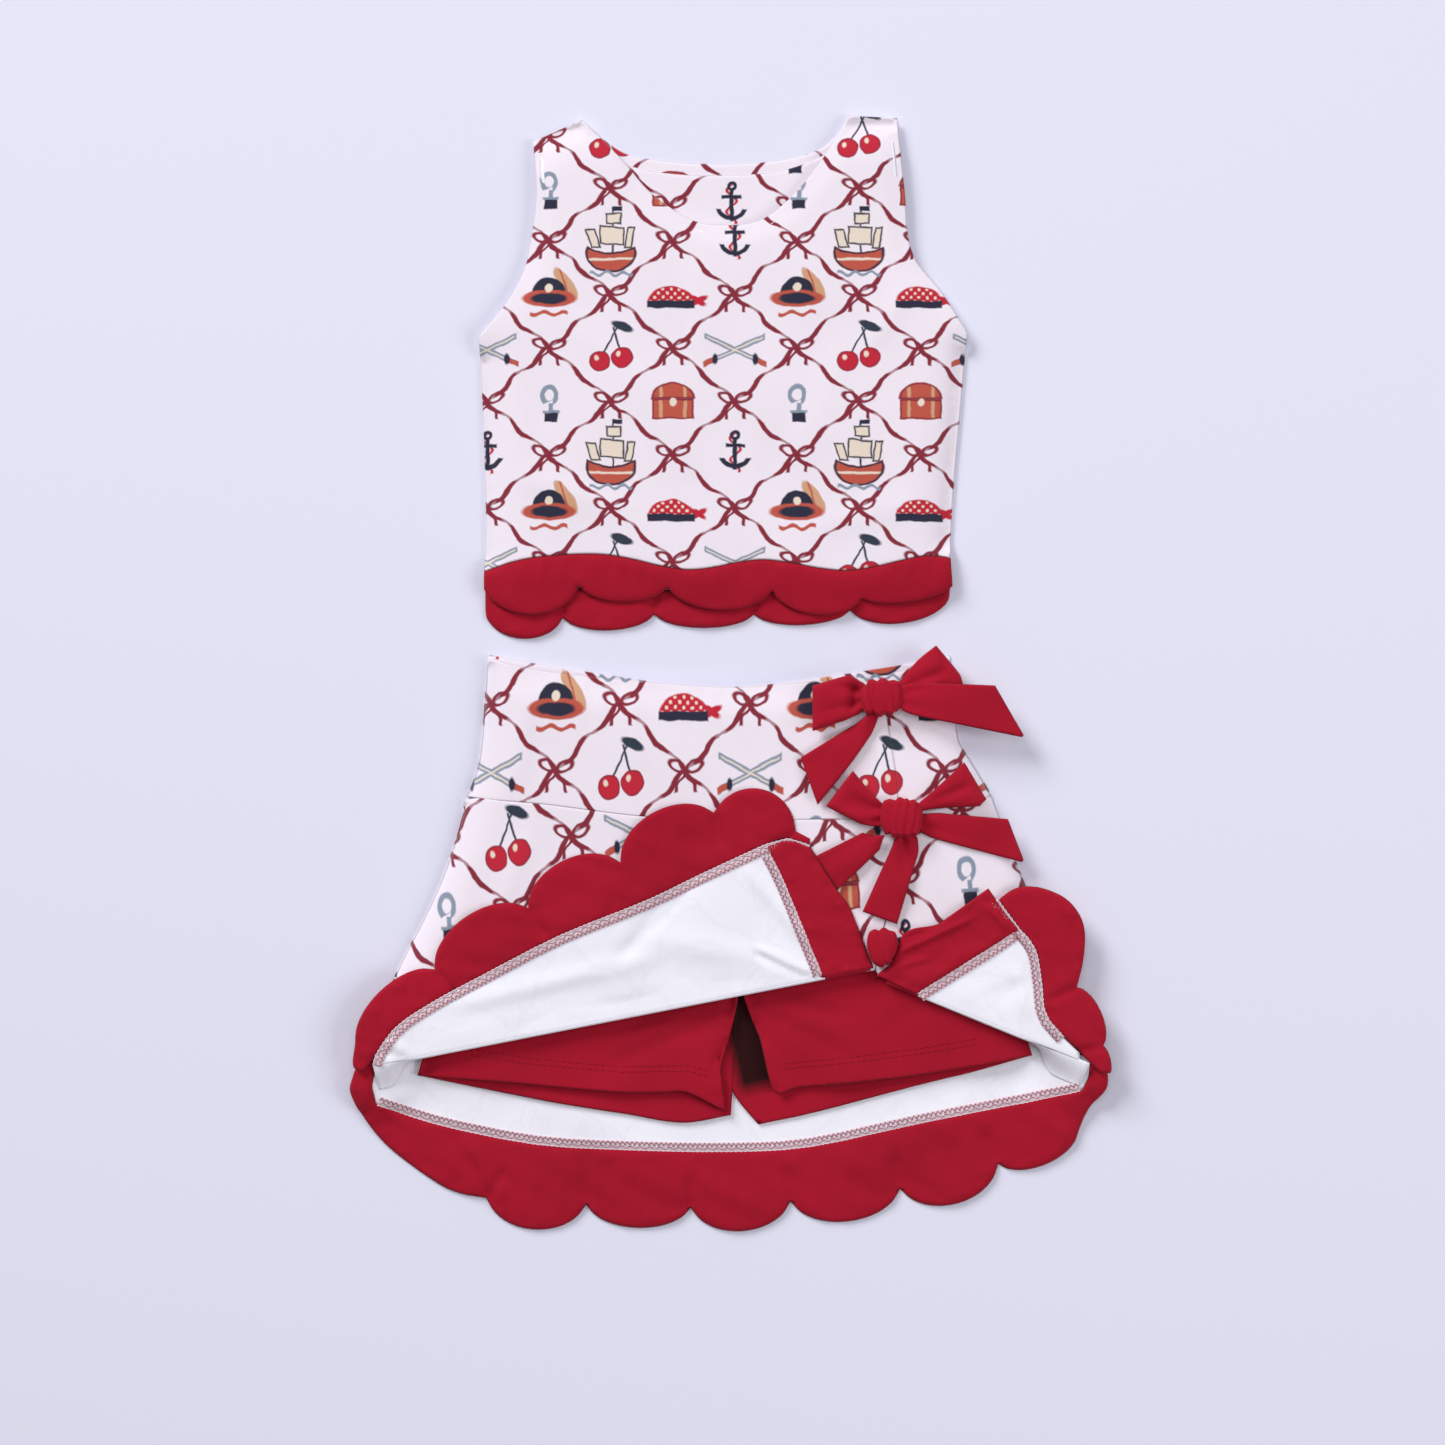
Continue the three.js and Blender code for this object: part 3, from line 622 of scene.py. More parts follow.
def bowLattice():  # ribbons tied in bows on a diamond lattice, with one small picture in each diamond
    tree, given, result = startGroup("bowLattice", [("Cloth", "NodeSocketVector", None),
                                                    ("Ground", "NodeSocketColor", (*inks["ground"], 1))],
                                     [("Colour", "NodeSocketColor")])
    s = Sums(tree)
    split = tree.nodes.new("ShaderNodeSeparateXYZ")
    handDrawn = tree.nodes.new("ShaderNodeTexNoise")  # lines waver as if drawn by hand
    handDrawn.inputs["Scale"].default_value = 130
    handDrawn.inputs["Detail"].default_value = 2
    tree.links.new(given.outputs["Cloth"], handDrawn.inputs["Vector"])
    waver = tree.nodes.new("ShaderNodeVectorMath")
    waver.operation = "MULTIPLY_ADD"
    waver.inputs[1].default_value = (0.0022, 0.0022, 0)
    tree.links.new(handDrawn.outputs["Color"], waver.inputs[0])
    tree.links.new(given.outputs["Cloth"], waver.inputs[2])
    tree.links.new(waver.outputs[0], split.inputs[0])
    halfColumn, halfRow = printLook["column"] / 2, printLook["row"] / 2
    u = (s.of(split.outputs[0]) * 1000.0 - (printLook["startX"] + 1.1)) * (1 / halfColumn)
    v = (s.of(split.outputs[1]) * 1000.0 - (printLook["startY"] + 1.1)) * (1 / halfRow)
    p, q = ((u + v) * 0.5, (u - v) * 0.5)
    spacing = 2 / math.hypot(1 / halfColumn, 1 / halfRow)
    colour = given.outputs["Ground"]
    nearP, nearQ = s.do("ROUND", p), s.do("ROUND", q)
    offP, offQ = (p - nearP, q - nearQ)
    # local place round the nearest bow
    x = (offP + offQ) * halfColumn
    y = (offP - offQ) * halfRow
    for across, along, turn in ((offP, q, 0.6), (offQ, p, 2.1)):
        sway = s.wave(along, 4 * math.pi, turn) * printLook["wave"]
        width = 0.5 + s.size(s.wave(along, 2 * math.pi, turn + 0.7)) * (printLook["ribbon"] - 0.45)
        band = width - s.size(across * spacing + sway)
        mask = s.soft(band)
        twist = s.soft(0.85 - width, 0.12)
        colour = s.paint(colour, mask, "ribbon")
        colour = s.paint(colour, mask * twist * 0.75, "twist")
    ax = s.size(x)
    ring = s.line(s.oval(ax, y - ax * 0.3, 5.0, 0.9, 4.4, 2.6), 0.75)
    tail = s.least(s.line(ax - (y * -0.62 + s.wave(y, 0.75) * 0.9), 1.0), s.least(y * -1.0, y + 10.5))
    knot = s.oval(x, y, 0.0, 0.0, 2.0, 1.7)
    bow = s.soft(s.most(s.most(ring, tail), knot))
    colour = s.paint(colour, bow, "ribbon")

    # the diamond's own place, row and column
    cellP, cellQ = s.do("FLOOR", p), s.do("FLOOR", q)
    inP, inQ = (p - cellP - 0.5, q - cellQ - 0.5)
    x = (inP + inQ) * (halfColumn / printLook["picture"])
    y = (inP - inQ) * (halfRow / printLook["picture"])
    row = s.do("FLOORED_MODULO", cellQ - cellP, 4.0)
    column = s.do("FLOORED_MODULO", s.do("FLOOR", (cellP + cellQ + 2.0) * 0.5), 2.0)

    def chosen(rowNumber, columnNumber):
        return s.do("COMPARE", row, float(rowNumber), 0.25) * s.do("COMPARE", column, float(columnNumber),
                0.25)

    def stamp(select, layers):
        nonlocal colour
        for shape, ink in layers:
            mask = s.soft(shape) * select
            colour = s.paint(colour, mask, ink)

    # sailing ship
    sailMain = s.box(x, y + x * 0.08, 0.5, 3.2, 6.6, 5.0)
    sailTop = s.box(x, y, 1.5, 12.2, 4.2, 3.0)
    sailFront = s.box(x + y * 0.3, y, -9.0, 1.5, 2.8, 5.0)
    sailBack = s.box(x - y * 0.15, y, 9.6, 1.8, 2.2, 5.6)
    sails = s.most(s.most(sailMain, sailTop), s.most(sailFront, sailBack))
    hull = s.least(s.oval(x, y, 0.0, -6.0, 13.5, 10.5), -6.0 - (y + x * x * -0.02))
    stamp(chosen(1, 0), [(s.least(s.line(x - 1.0, 0.55), s.line(y - 5.0, 13.5)), "navy"), (sails, "cream"),
                         (s.outlineOf(sails, 0.9), "navy"), (s.box(x, y, 3.4, 17.4, 2.4, 1.3), "navy"),
                         (hull, "brick"), (s.least(hull, s.line(y + 9.5, 0.6)), "cream"),
                         (s.outlineOf(hull, 1.0), "navy"),
                         (s.least(s.line(y + 17.2 + s.wave(x, 0.75), 0.8), s.line(x, 11.5)), "steel")])
    # anchor with a rope
    arms = s.least(s.line(s.oval(x, y, 0.0, 1.5, 9.0, 9.0) - 1.2, 1.25), -1.5 - y)
    stamp(chosen(1, 1), [(s.least(s.line(x - s.wave(y, 0.55) * 2.6, 0.8), s.line(y - 1.0, 10.5)), "cherry"),
                         (s.most(s.box(x, y, 0.0, 0.5, 1.15, 8.5),
                                 s.most(arms, s.box(x, y, 0.0, 5.0, 5.2, 1.0))), "navy"),
                         (s.line(s.oval(x, y, 0.0, 10.6, 2.6, 2.6) - 0.8, 0.9), "navy")])
    # tricorn hat with a plume
    crown = s.least(s.oval(x, y, 0.0, 0.0, 9.0, 9.5), y + 2.0)
    brim = s.oval(x, y, 0.0, -2.0, 14.5, 4.6)
    plume = s.oval(x + y * 0.6, y, 12.5, 6.0, 4.0, 8.5)
    stamp(chosen(2, 0), [(plume, "sand"), (s.least(plume, s.line(x - 10.0 + y * 0.3, 0.5)), "brick"),
                         (crown, "navy"), (brim, "brick"), (brim - 1.6, "navy"),
                         (s.oval(x, y, 0.0, 3.8, 2.2, 2.2), "cream"),
                         (s.least(s.line(y + 10.0 + s.wave(x, 0.6), 1.0), s.line(x, 10.0)), "brick")])
    # spotted bandana
    cap = s.least(s.oval(x, y, -1.0, -4.5, 12.5, 9.0), y + 4.5)
    spots = s.least(s.wave(x, 1.45) * s.wave(y, 1.45, 0.6) - 0.45, cap - 0.6)
    knotEnds = s.most(s.oval(x, y - x * 0.5, 13.5, -10.0, 4.5, 1.9), s.oval(x, y + x * 0.5, 13.5, 3.5, 4.0,
            1.8))
    stamp(chosen(2, 1), [(knotEnds, "cherry"), (cap, "cherry"), (spots, "cream"),
                         (s.least(s.line(y + 5.2, 2.0), s.line(x + 1.0, 12.5)), "navy")])
    # cherries
    leftStem = s.least(s.line(x - (y * 0.55 + -2.6), 0.6), s.line(y - 3.0, 8.0))
    rightStem = s.least(s.line(x - 4.6 + y * 0.3, 0.6), s.line(y - 4.0, 7.0))
    stem = s.most(leftStem, rightStem)
    leftCherry, rightCherry = s.oval(x, y, -6.0, -7.0, 5.6, 5.4), s.oval(x, y, 5.8, -5.0, 5.6, 5.4)
    stamp(chosen(3, 0), [(stem, "leaf"), (s.oval(x, y - x * -0.3, 6.0, 13.4, 6.0, 2.5), "leaf"),
                         (leftCherry, "cherry"), (rightCherry, "cherry"),
                         (s.oval(x, y, -7.8, -5.2, 1.2, 1.5), "cream"), (s.oval(x, y, 4.0, -3.2, 1.2, 1.5),
                                 "cream"), (s.outlineOf(s.most(leftCherry, rightCherry), 0.6), "ribbon")])
    # crossed swords
    ax = s.size(x)
    blade = s.least(s.line(s.size(y + 1.0) - ax * 0.46, 1.6), s.line(x, 16.0))
    grip = s.least(s.line(y + 1.0 + ax * 0.46, 1.5), s.line(ax - 13.6, 3.2))
    stamp(chosen(3, 1), [(blade, "steel"), (blade - 1.15, "cream"), (grip, "brick"),
                         (s.oval(ax, y, 10.6, -5.8, 1.5, 3.0), "navy")])
    # hook
    bend = s.least(s.line(s.oval(x, y, 0.0, 3.4, 4.9, 5.6) - 1.1, 1.15), s.most(y + x * -0.4, x - 2.0))
    stamp(chosen(0, 0), [(bend, "steel"), (s.least(s.line(x - 1.0, 1.2), s.line(y + 3.5, 2.6)), "steel"),
                         (s.box(x, y, 1.0, -8.2, 3.6, 2.8), "navy"), (s.box(x, y, 1.0, -5.4, 4.4, 0.7),
                                 "steel")])
    # treasure chest
    chest = s.most(s.box(x, y, 0.0, -4.0, 11.0, 5.4), s.least(s.oval(x, y, 0.0, 1.4, 11.6, 8.6), y - 1.4))
    stamp(chosen(0, 1), [(chest, "brick"), (s.least(chest, s.line(ax - 6.4, 0.9)), "sand"),
                         (s.least(chest, s.line(y - 1.2, 0.8)), "ribbon"), (s.outlineOf(chest, 0.8),
                                 "ribbon"), (s.oval(x, y, 0.0, -0.6, 1.9, 2.2), "cream")])
    tree.links.new(colour, result.inputs["Colour"])
    return tree


def knitSurface():  # fine knit ribs, cloth unevenness and a little fluff
    tree, given, result = startGroup("knitSurface", [("Cloth", "NodeSocketVector", None),
                                                     ("Pitch", "NodeSocketFloat", 0.8),
                                                     ("Colour", "NodeSocketColor", (1, 1, 1, 1)),
                                                     ("Mottle", "NodeSocketFloat", 0.06)],
                                     [("Colour", "NodeSocketColor"), ("Height", "NodeSocketFloat"),
                                      ("Roughness", "NodeSocketFloat")])
    s = Sums(tree)
    split = tree.nodes.new("ShaderNodeSeparateXYZ")
    tree.links.new(given.outputs["Cloth"], split.inputs[0])
    rate = s.do("DIVIDE", 2000 * math.pi, given.outputs["Pitch"])
    rib = s.do("SINE", s.of(split.outputs[0]) * rate)
    loops = s.do("SINE", s.of(split.outputs[1]) * (rate * 1.3) + rib * 1.4)
    knit = (rib * 0.6 + loops * 0.4) * 0.5
    place = tree.nodes.new("ShaderNodeTexCoord")

    def cloud(scale, detail):
        node = tree.nodes.new("ShaderNodeTexNoise")
        node.inputs["Scale"].default_value = scale
        node.inputs["Detail"].default_value = detail
        tree.links.new(place.outputs["Object"], node.inputs["Vector"])
        return s.of(node.outputs[0])
    broad, fine = cloud(14, 2), cloud(900, 3)
    shade = (broad - 0.5) * 1.2 + ((fine - 0.5) * 0.9 + knit * 0.55)
    factor = 1.0 + shade * s.of(given.outputs["Mottle"])
    scaled = tree.nodes.new("ShaderNodeVectorMath")
    scaled.operation = "SCALE"
    tree.links.new(given.outputs["Colour"], scaled.inputs[0])
    s.put(scaled.inputs["Scale"], factor)
    tree.links.new(scaled.outputs[0], result.inputs["Colour"])
    s.put(result.inputs["Height"], knit + (fine * 0.8 + broad * 0.5))
    s.put(result.inputs["Roughness"], 0.74 + fine * 0.2)
    return tree


groups = {"lattice": bowLattice(), "knit": knitSurface()}


def clothMaterial(name, colour, printed=0.0, pitch=0.8, mottle=0.06, bump=0.25, sheen=0.25):
    material = bpy.data.materials.new(name)
    material.use_nodes = True
    tree = material.node_tree
    shader = tree.nodes["Principled BSDF"]
    shader.inputs["Sheen Weight"].default_value = sheen
    shader.inputs["Sheen Roughness"].default_value = 0.55
    shader.inputs["Specular IOR Level"].default_value = 0.18
    clothMap = tree.nodes.new("ShaderNodeUVMap")
    clothMap.uv_map = "clothMap"
    knit = tree.nodes.new("ShaderNodeGroup")
    knit.node_tree = groups["knit"]
    knit.inputs["Pitch"].default_value = pitch
    knit.inputs["Mottle"].default_value = mottle
    knit.inputs["Colour"].default_value = (*colour, 1)
    tree.links.new(clothMap.outputs[0], knit.inputs["Cloth"])
    if printed:
        lattice = tree.nodes.new("ShaderNodeGroup")
        lattice.node_tree = groups["lattice"]
        lattice.inputs["Ground"].default_value = (*colour, 1)
        tree.links.new(clothMap.outputs[0], lattice.inputs["Cloth"])
        mix = tree.nodes.new("ShaderNodeMix")
        mix.data_type = "RGBA"
        mix.inputs[0].default_value = printed
        mix.inputs[6].default_value = (*colour, 1)
        tree.links.new(lattice.outputs["Colour"], mix.inputs[7])
        tree.links.new(mix.outputs[2], knit.inputs["Colour"])
    tree.links.new(knit.outputs["Colour"], shader.inputs["Base Color"])
    tree.links.new(knit.outputs["Roughness"], shader.inputs["Roughness"])
    raised = tree.nodes.new("ShaderNodeBump")
    raised.inputs["Strength"].default_value = bump
    raised.inputs["Distance"].default_value = 0.0003
    tree.links.new(knit.outputs["Height"], raised.inputs["Height"])
    tree.links.new(raised.outputs[0], shader.inputs["Normal"])
    finish[name] = material


clothMaterial("printFabric", inks["ground"], printed=1.0, pitch=0.7, mottle=0.05)
clothMaterial("whiteLining", (0.895, 0.885, 0.975), printed=0.028, pitch=0.7, mottle=0.06, bump=0.3)
# the second red gets painted shade between the legs, below
for name in ("redJersey", "redInside"):
    clothMaterial(name, (0.37, 0.003, 0.0195), pitch=0.75, mottle=0.26, bump=0.3, sheen=0.03)
clothMaterial("redThread", (0.42, 0.035, 0.075), pitch=0.5, mottle=0.3, bump=0.3)
clothMaterial("whiteThread", (0.80, 0.67, 0.74), pitch=0.5, mottle=0.2, bump=0.3)
clothMaterial("waistElastic", (0.82, 0.82, 0.84), pitch=2.2, mottle=0.12, bump=0.8)

# place, reach and colour of the painted shade between the legs
between = {"x": 7, "y": -190, "turn": -76, "shift": 2, "halfWidth": 13, "soft": 4, "end": 60, "endSoft": 5,
           "dark": (0.022, 0.0004, 0.0012)}


def paintShadeBetweenLegs(material):  # painted shade: darkens the cloth's colour between the two legs, where hardly any light reaches
    tree = material.node_tree
    s = Sums(tree)
    split = tree.nodes.new("ShaderNodeSeparateXYZ")
    place = next(node for node in tree.nodes if node.bl_idname == "ShaderNodeUVMap")
    knit = next(node for node in tree.nodes if node.bl_idname == "ShaderNodeGroup")
    tree.links.new(place.outputs[0], split.inputs[0])
    x, y = (s.of(split.outputs[0]) * 1000 - between["x"], s.of(split.outputs[1]) * 1000 - between["y"])
    turn = math.radians(between["turn"])
    along = x * math.cos(turn) + y * math.sin(turn)
    across = y * math.cos(turn) - x * math.sin(turn) + between["shift"]
    near = s.soft(between["halfWidth"] - s.size(across), between["soft"])
    within = s.soft(between["end"] - along, between["endSoft"])
    shaded = s.paint(knit.outputs["Colour"], near * within, (*between["dark"], 1))
    tree.links.new(shaded, tree.nodes["Principled BSDF"].inputs["Base Color"])


paintShadeBetweenLegs(finish["redInside"])
print("stage: materials made")

# Top.
made = {}


def neckMap(x, y):
    return x + 2, y - 22


def skirtMap(x, y):  # the skirt's cut is stretched a little, so its print is larger
    return (x + 64.8) / 1.044 - 70.8, (y + 18.2) / 1.25 + 227.4


def lowerSkirtMap(x, y):
    turn = math.radians(4)
    dx = (x + 133) * math.cos(turn) + (y + 100) * math.sin(turn)
    dy = (y + 100) * math.cos(turn) - (x + 133) * math.sin(turn)
    return dx / 1.05 - 70.8, dy / 1.3 + 195.4


def flapMap(fold):  # the print goes on past the fold on the hidden side
    def mapAt(x, y):
        along, away = toFold(fold, x, y)
        return lowerSkirtMap(*fromFold(fold, along, -away))
    return mapAt


printed, reversedPrint = ("printFabric", "whiteLining"), ("whiteLining", "printFabric")
redBoth = ("redJersey", "redJersey")
made["topBackPanel"] = sewn("topBackPanel", topBackTop, reversedPrint, "top",
                            printedWhere=lambda x, y: y > 258)
made["topFrontPanel"] = sewn("topFrontPanel", topFrontTop, printed, "top", rimDrop=0.25)
made["topFrontHemBand"] = sewn("topFrontHemBand", topHemTop, redBoth, "top", cloth["band"],
                               rounding=2.2, cell=cloth["bandCell"])
made["topBackHemBand"] = sewn("topBackHemBand", bandTop(above(topBackTop, 1.2), "top_back_hem_band", 41),
                              redBoth, "top",
                          cloth["band"], rounding=2.2, cell=cloth["bandCell"])
made["frontNeckFacing"] = sewn("frontNeckFacing", above(topFrontTop, -1.15), ("whiteLining", "printFabric"),
                               "top", cloth["facing"])
made["backNeckFacing"] = sewn("backNeckFacing", above(topBackTop, 0.75), printed, "top",
                              cloth["facing"], mapAt=neckMap)
print("stage: top made")

# Skirt.
def pastFront(x, y):  # the side and waist edges of the back, where the print wraps round
    covered = np.zeros(x.shape, bool)
    for node in ("front_yoke", "side_yoke", "front_skirt_panel", "side_skirt_panel"):
        covered |= inside(x, y, outlineOf(node))
    beside = (x < -150) | (x > 130)
    clear = ~covered & (lineDistance(x, y, outlineOf("front_skirt_panel")) > 0.1)
    return ((y > -226) & clear & beside) | (y > -30)


for name in ("frontYoke", "sideYoke", "backYoke", "frontSkirtPanel", "sideSkirtPanel", "backSkirtPanel"):
    back = name.startswith("back")
    made[name] = sewn(name, skirtBackTop if back else skirtFrontTop, reversedPrint if back else printed,
                      "skirt",
                      mapAt=skirtMap if "Yoke" in name else lowerSkirtMap, grow=0.31, rimDrop=0.15,
                      printedWhere=pastFront if back else None, reshaped=None if back else toSides)
for name in ("frontWaistFacing", "sideWaistFacing", "backWaistFacing"):
    lay = above(skirtBackTop, 1.75) if name.startswith("back") else above(skirtFrontTop, -1.1)
    made[name] = sewn(name, lay, printed, "skirt", cloth["facing"], mapAt=lambda x,
                      y: skirtMap(x + 14, y))
made["backHemBand"] = sewn("backHemBand", bandTop(above(skirtBackTop, 1.1), "back_hem_band", 51), redBoth,
                           "skirt", cloth["band"],
                       rounding=2.4, cell=cloth["bandCell"],
                       reshaped=pulls(((-216, -237), 12, (6, 8)), ((-228, -237), 14, (5, 1)),
                                      ((225, -234), 14, (-4, 8))))
legShapes = {"shortsRightBack": pulls(((14, -230), 62, (-13, 0)), ((12, -253), 34, (-9, 1))),
             "shortsLeftFront": pulls(((-9, -256), 22, (7, -7))),
             "shortsRightFront": pulls(((22, -238), 22, (0, -12)))}
for name, lay in (("shortsLeftBack", shortsBackTop), ("shortsRightBack", above(shortsBackTop, -0.5)),
                  ("shortsLeftFront", shortsFrontTop), ("shortsRightFront", shortsFrontTop)):
    # the back legs' upper faces carry the painted shade between the legs
    look = ("redInside" if "Back" in name else "redJersey", "redJersey")
    made[name] = sewn(name, lay, look, "skirt", reshaped=legShapes.get(name))
print("stage: skirt and shorts made")

# Front flaps, folded up with their inside showing.
def toFoldLine(fold):  # the edge beside the fold follows it all the way
    def reshape(outline):
        along, away = toFold(fold, outline[:, 0], outline[:, 1])
        return np.column_stack(fromFold(fold, along, np.where(away < 4.7, 0.55, away)))
    return reshape


bandShapes = {"frontFlapSlitBand": pulls(((86.1, -176.3), 10, (0.3, 0.2))),
              "sideFlapSlitBand": pulls(((94, -184.3), 13, (-5.5, 3.5)), ((108, -163), 24, (-2, 8))),
              "frontFlapHemBand": pulls(((-219, -231), 13, (-6, -5))),
              "sideFlapHemBand": pulls(((217, -232), 13, (4, -5)))}
for fold, body in (("front", "front_flap"), ("side", "side_flap")):
    lay = flapTop(fold)
    name = fold + "FlapPanel"
    made[name] = sewn(name, lay, reversedPrint, body, mapAt=flapMap(fold), cell=2.2, step=2.2,
                      reshaped=toFoldLine(fold))
    for part in ("Hem", "Slit"):
        name = fold + "Flap" + part + "Band"
        bandLay = bandTop(above(lay, 0.85 if name == "sideFlapSlitBand" else 0.35), nodeOf(name),
                          61 + len(part))
        made[name] = sewn(name, bandLay, redBoth, body, cloth["band"], rounding=2.2,
                          cell=1.5 if part == "Slit" else 2.6,
                          step=2.0, reshaped=bandShapes[name])


rollLay = {"step": 2.5, "around": 12, "half": 0.45, "reach": 1.25, "centre": 1.3, "tuck": 1.8,
           "uvWidth": 3.0, "blendFrom": 11.9, "blendTo": 13.8}


# the cloth turning over at the fold, opening out beside the side seam
def foldRoll(name, fold, redFrom, redTo, opening):
    start, end = folds[fold]["from"], folds[fold]["to"]
    rows, around = int((end - start) / rollLay["step"]), rollLay["around"]
    along = np.linspace(start + 0.5, end - 0.5, rows)
    vertices, faces, marks, uvs = [], [], [], []

    def isRed(a):
        return redFrom <= a <= redTo[0] or a >= redTo[1]

    for thickness in (rollLay["half"], -rollLay["half"]):
        for a in along:
            z0 = skirtFrontTop(*[np.array([c]) for c in fromFold(fold, a, 1.5)])[0] - rollLay["half"]
            z1 = flapLay["height"] - rollLay["half"]
            middle, half = (z0 + z1) / 2, (z1 - z0) / 2
            for k in range(around + 1):
                angle = -math.pi / 2 - math.pi * k / around
                turned = math.cos(angle)
                away = rollLay["centre"] + rollLay["reach"] * turned + (thickness * turned)
                tucked = k in (0, around)
                away = rollLay["tuck"] if tucked else away
                z = middle + (half + thickness * (0.3 if tucked else 1)) * math.sin(angle)
                spread = float(ease(opening[0], opening[1], a))
                if spread > 0:  # eases down on to the back instead
                    s = 1 - k / around
                    rampAway = rollLay["tuck"] - s * opening[2] * spread
                    bx, by = fromFold(fold, a, rampAway)
                    floorAt = skirtBackTop(np.array([bx]), np.array([by]))[0] + 0.1
                    rampZ = z1 + (floorAt - z1) * float(ease(0, 1, s)) + thickness * 0.5
                    away, z = away + (rampAway - away) * spread, z + (rampZ - z) * spread
                x, y = fromFold(fold, a, away)
                vertices.append((x, y, z))
                uvs.append(lowerSkirtMap(*fromFold(fold, a, -rollLay["uvWidth"] * k / around)))
    width, layer = around + 1, rows * (around + 1)
    for side in (0, 1):
        for i in range(rows - 1):
            for k in range(around):
                a = side * layer + i * width + k
                quad = (a, a + width, a + width + 1, a + 1)
                faces.append(quad if side == 0 else quad[::-1])
                marks.append(2 if isRed(along[i]) else side)
    for i in range(rows - 1):
        for k in (0, around):
            a, b = i * width + k, layer + i * width + k
            quad = (a, b, b + width, a + width)
            faces.append(quad if k == 0 else quad[::-1])
            marks.append(2 if isRed(along[i]) else 0)
    for k in range(around):
        for i in (0, rows - 1):
            a, b = i * width + k, layer + i * width + k
            quad = (a, a + 1, b + 1, b)
            faces.append(quad if i == 0 else quad[::-1])
            marks.append(2 if isRed(along[i]) else 0)
    piece = newPiece(name, vertices, faces, uvs, ("whiteLining", "printFabric", "redJersey"), marks)
    outward(piece)
    x, y = fromFold(fold, (start + end) / 2, 0)
    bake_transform(piece)
    return piece


made["frontFoldRoll"] = foldRoll("frontFoldRoll", "front", 276, (320, 320), (30, 10, 16))
made["sideFoldRoll"] = foldRoll("sideFoldRoll", "side", -5, (26, 143), (92, 122, 16))
print("stage: flaps made")

# Bows.
knotPlaces = {name: [(a + b) / 2 / mm for a, b in zip(*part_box(name + "_bow_knot"))] for name in ("upper",
        "middle", "lower")}
tieLay = {"lowest": 8.2, "lift": 0.5, "pleat": 1.3, "loopFull": 5.8, "loopPleat": 1.7}


def pleats(x, y, knot, count, depth, reach, shift=0.0):  # folds that fan out of a knot
    cx, cy = knotPlaces[knot][:2]
    angle, far = np.arctan2(y - cy, x - cx), np.hypot(x - cx, y - cy)
    wave = 2 * np.sqrt(0.5 + 0.5 * np.cos(angle * count + shift)) - 1  # narrow valleys between full folds
    return 1.25 * depth * wave * np.exp(-np.maximum(far - 9, 0) / reach)


def tieTop(knot, lift=0.0, count=11, shift=0.0, depth=tieLay["pleat"]):
    def heightAt(x, y, edge=None):
        far = np.hypot(x - knotPlaces[knot][0], y - knotPlaces[knot][1])
        z = np.maximum(skirtFrontTop(x, y), tieLay["lowest"]) + tieLay["lift"] + cloth["tie"] + lift
        z += 2.2 * (1 - ease(8, 26, far)) + 0.8 * (1 + ripples(x, y, 71 + count, 26)) * ease(14, 40, far)
        return z + depth + pleats(x, y, knot, count, depth, 24, shift)
    return heightAt


def overTop(x, y, edge=None):  # a tail that passes over the right loop and drops beyond it
    z = 20.1 - 5.4 * ease(132, 172, x) + pleats(x, y, "upper", 13, 0.55, 22, 0.5)
    return z + 0.35 * ripples(x, y, 77, 32)


def beyondTop(x, y, edge=None):
    z = 14.6 - 3.2 * ease(146, 178, x) + pleats(x, y, "middle", 13, 0.8, 22, 0.9)
    return z + 0.4 * ripples(x, y, 79, 30)


tails = (("upperBowLeftTail", tieTop("upper", 0, 12, 0.4), "skirt"),
         ("upperBowRightTail", overTop, "upper_tail"),
         ("middleBowLeftTail", tieTop("middle", 0, 11, 1.0), "skirt"),
         ("middleBowRightTail", beyondTop, "middle_tail"),
         ("middleBowLowerTail", tieTop("middle", 0, 12, 2.0), "skirt"))
for name, lay, body in tails:
    knot = name.split("Bow")[0]
    made[name] = sewn(name, lay, redBoth, body if body == "skirt" else None, cloth["tie"],
                      rounding=1.2,
                      cell=1.7, step=1.6, drawnTo=(knotPlaces[knot][:2], 11, 24, 0.62))
    if body != "skirt":  # left without a body, its transform baked into the mesh
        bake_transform(made[name])


loops = {"upperBowLeftLoop": {"base": 1.9, "shift": 0.3, "folds": [(77, -6, 72, -26, 3.0, -2.4),
        (72, -4, 52, -9, 2.2, 1.0)]},
         "upperBowRightLoop": {"base": 0.1, "shift": 0.8, "folds": [(101, -9, 130, 2, 3.2, -2.6),
                 (104, -2, 120, 8, 2.4, 0.9)]},
         "middleBowLeftLoop": {"base": 1.9, "shift": 1.6, "folds": [(88, -84, 66, -76, 3.4, -1.8),
                 (86, -92, 62, -82, 2.4, 0.8)]},
         "middleBowRightLoop": {"base": 0.1, "shift": 0.2, "folds": [(113, -80, 146, -66, 3.0, -2.4),
                 (118, -72, 138, -58, 2.4, 0.8)]}}


def loopPiece(name, base, shift, folds):  # a folded length of tie, puffed where it turns
    knot = name.split("Bow")[0]

    def lowest(x, y, edge):
        return np.maximum(skirtFrontTop(x, y), tieLay["lowest"]) + tieLay["lift"] + base

    def top(x, y, edge):
        far = np.hypot(x - knotPlaces[knot][0], y - knotPlaces[knot][1])
        full = tieLay["loopFull"] * (0.55 + 0.45 * ease(10, 30, far))
        creased = pleats(x, y, knot, 12, tieLay["loopPleat"], 20, shift) + 0.5 * ripples(x, y, 83, 24)
        return lowest(x, y, edge) + full + creased + creases(x, y, folds)
    return sewn(name, top, redBoth, "skirt", bottomAt=lowest, rounding=8.5, cell=1.7, step=1.6,
                drawnTo=(knotPlaces[knot][:2], 12, 26, 0.6))


for name, loop in loops.items():
    made[name] = loopPiece(name, **loop)


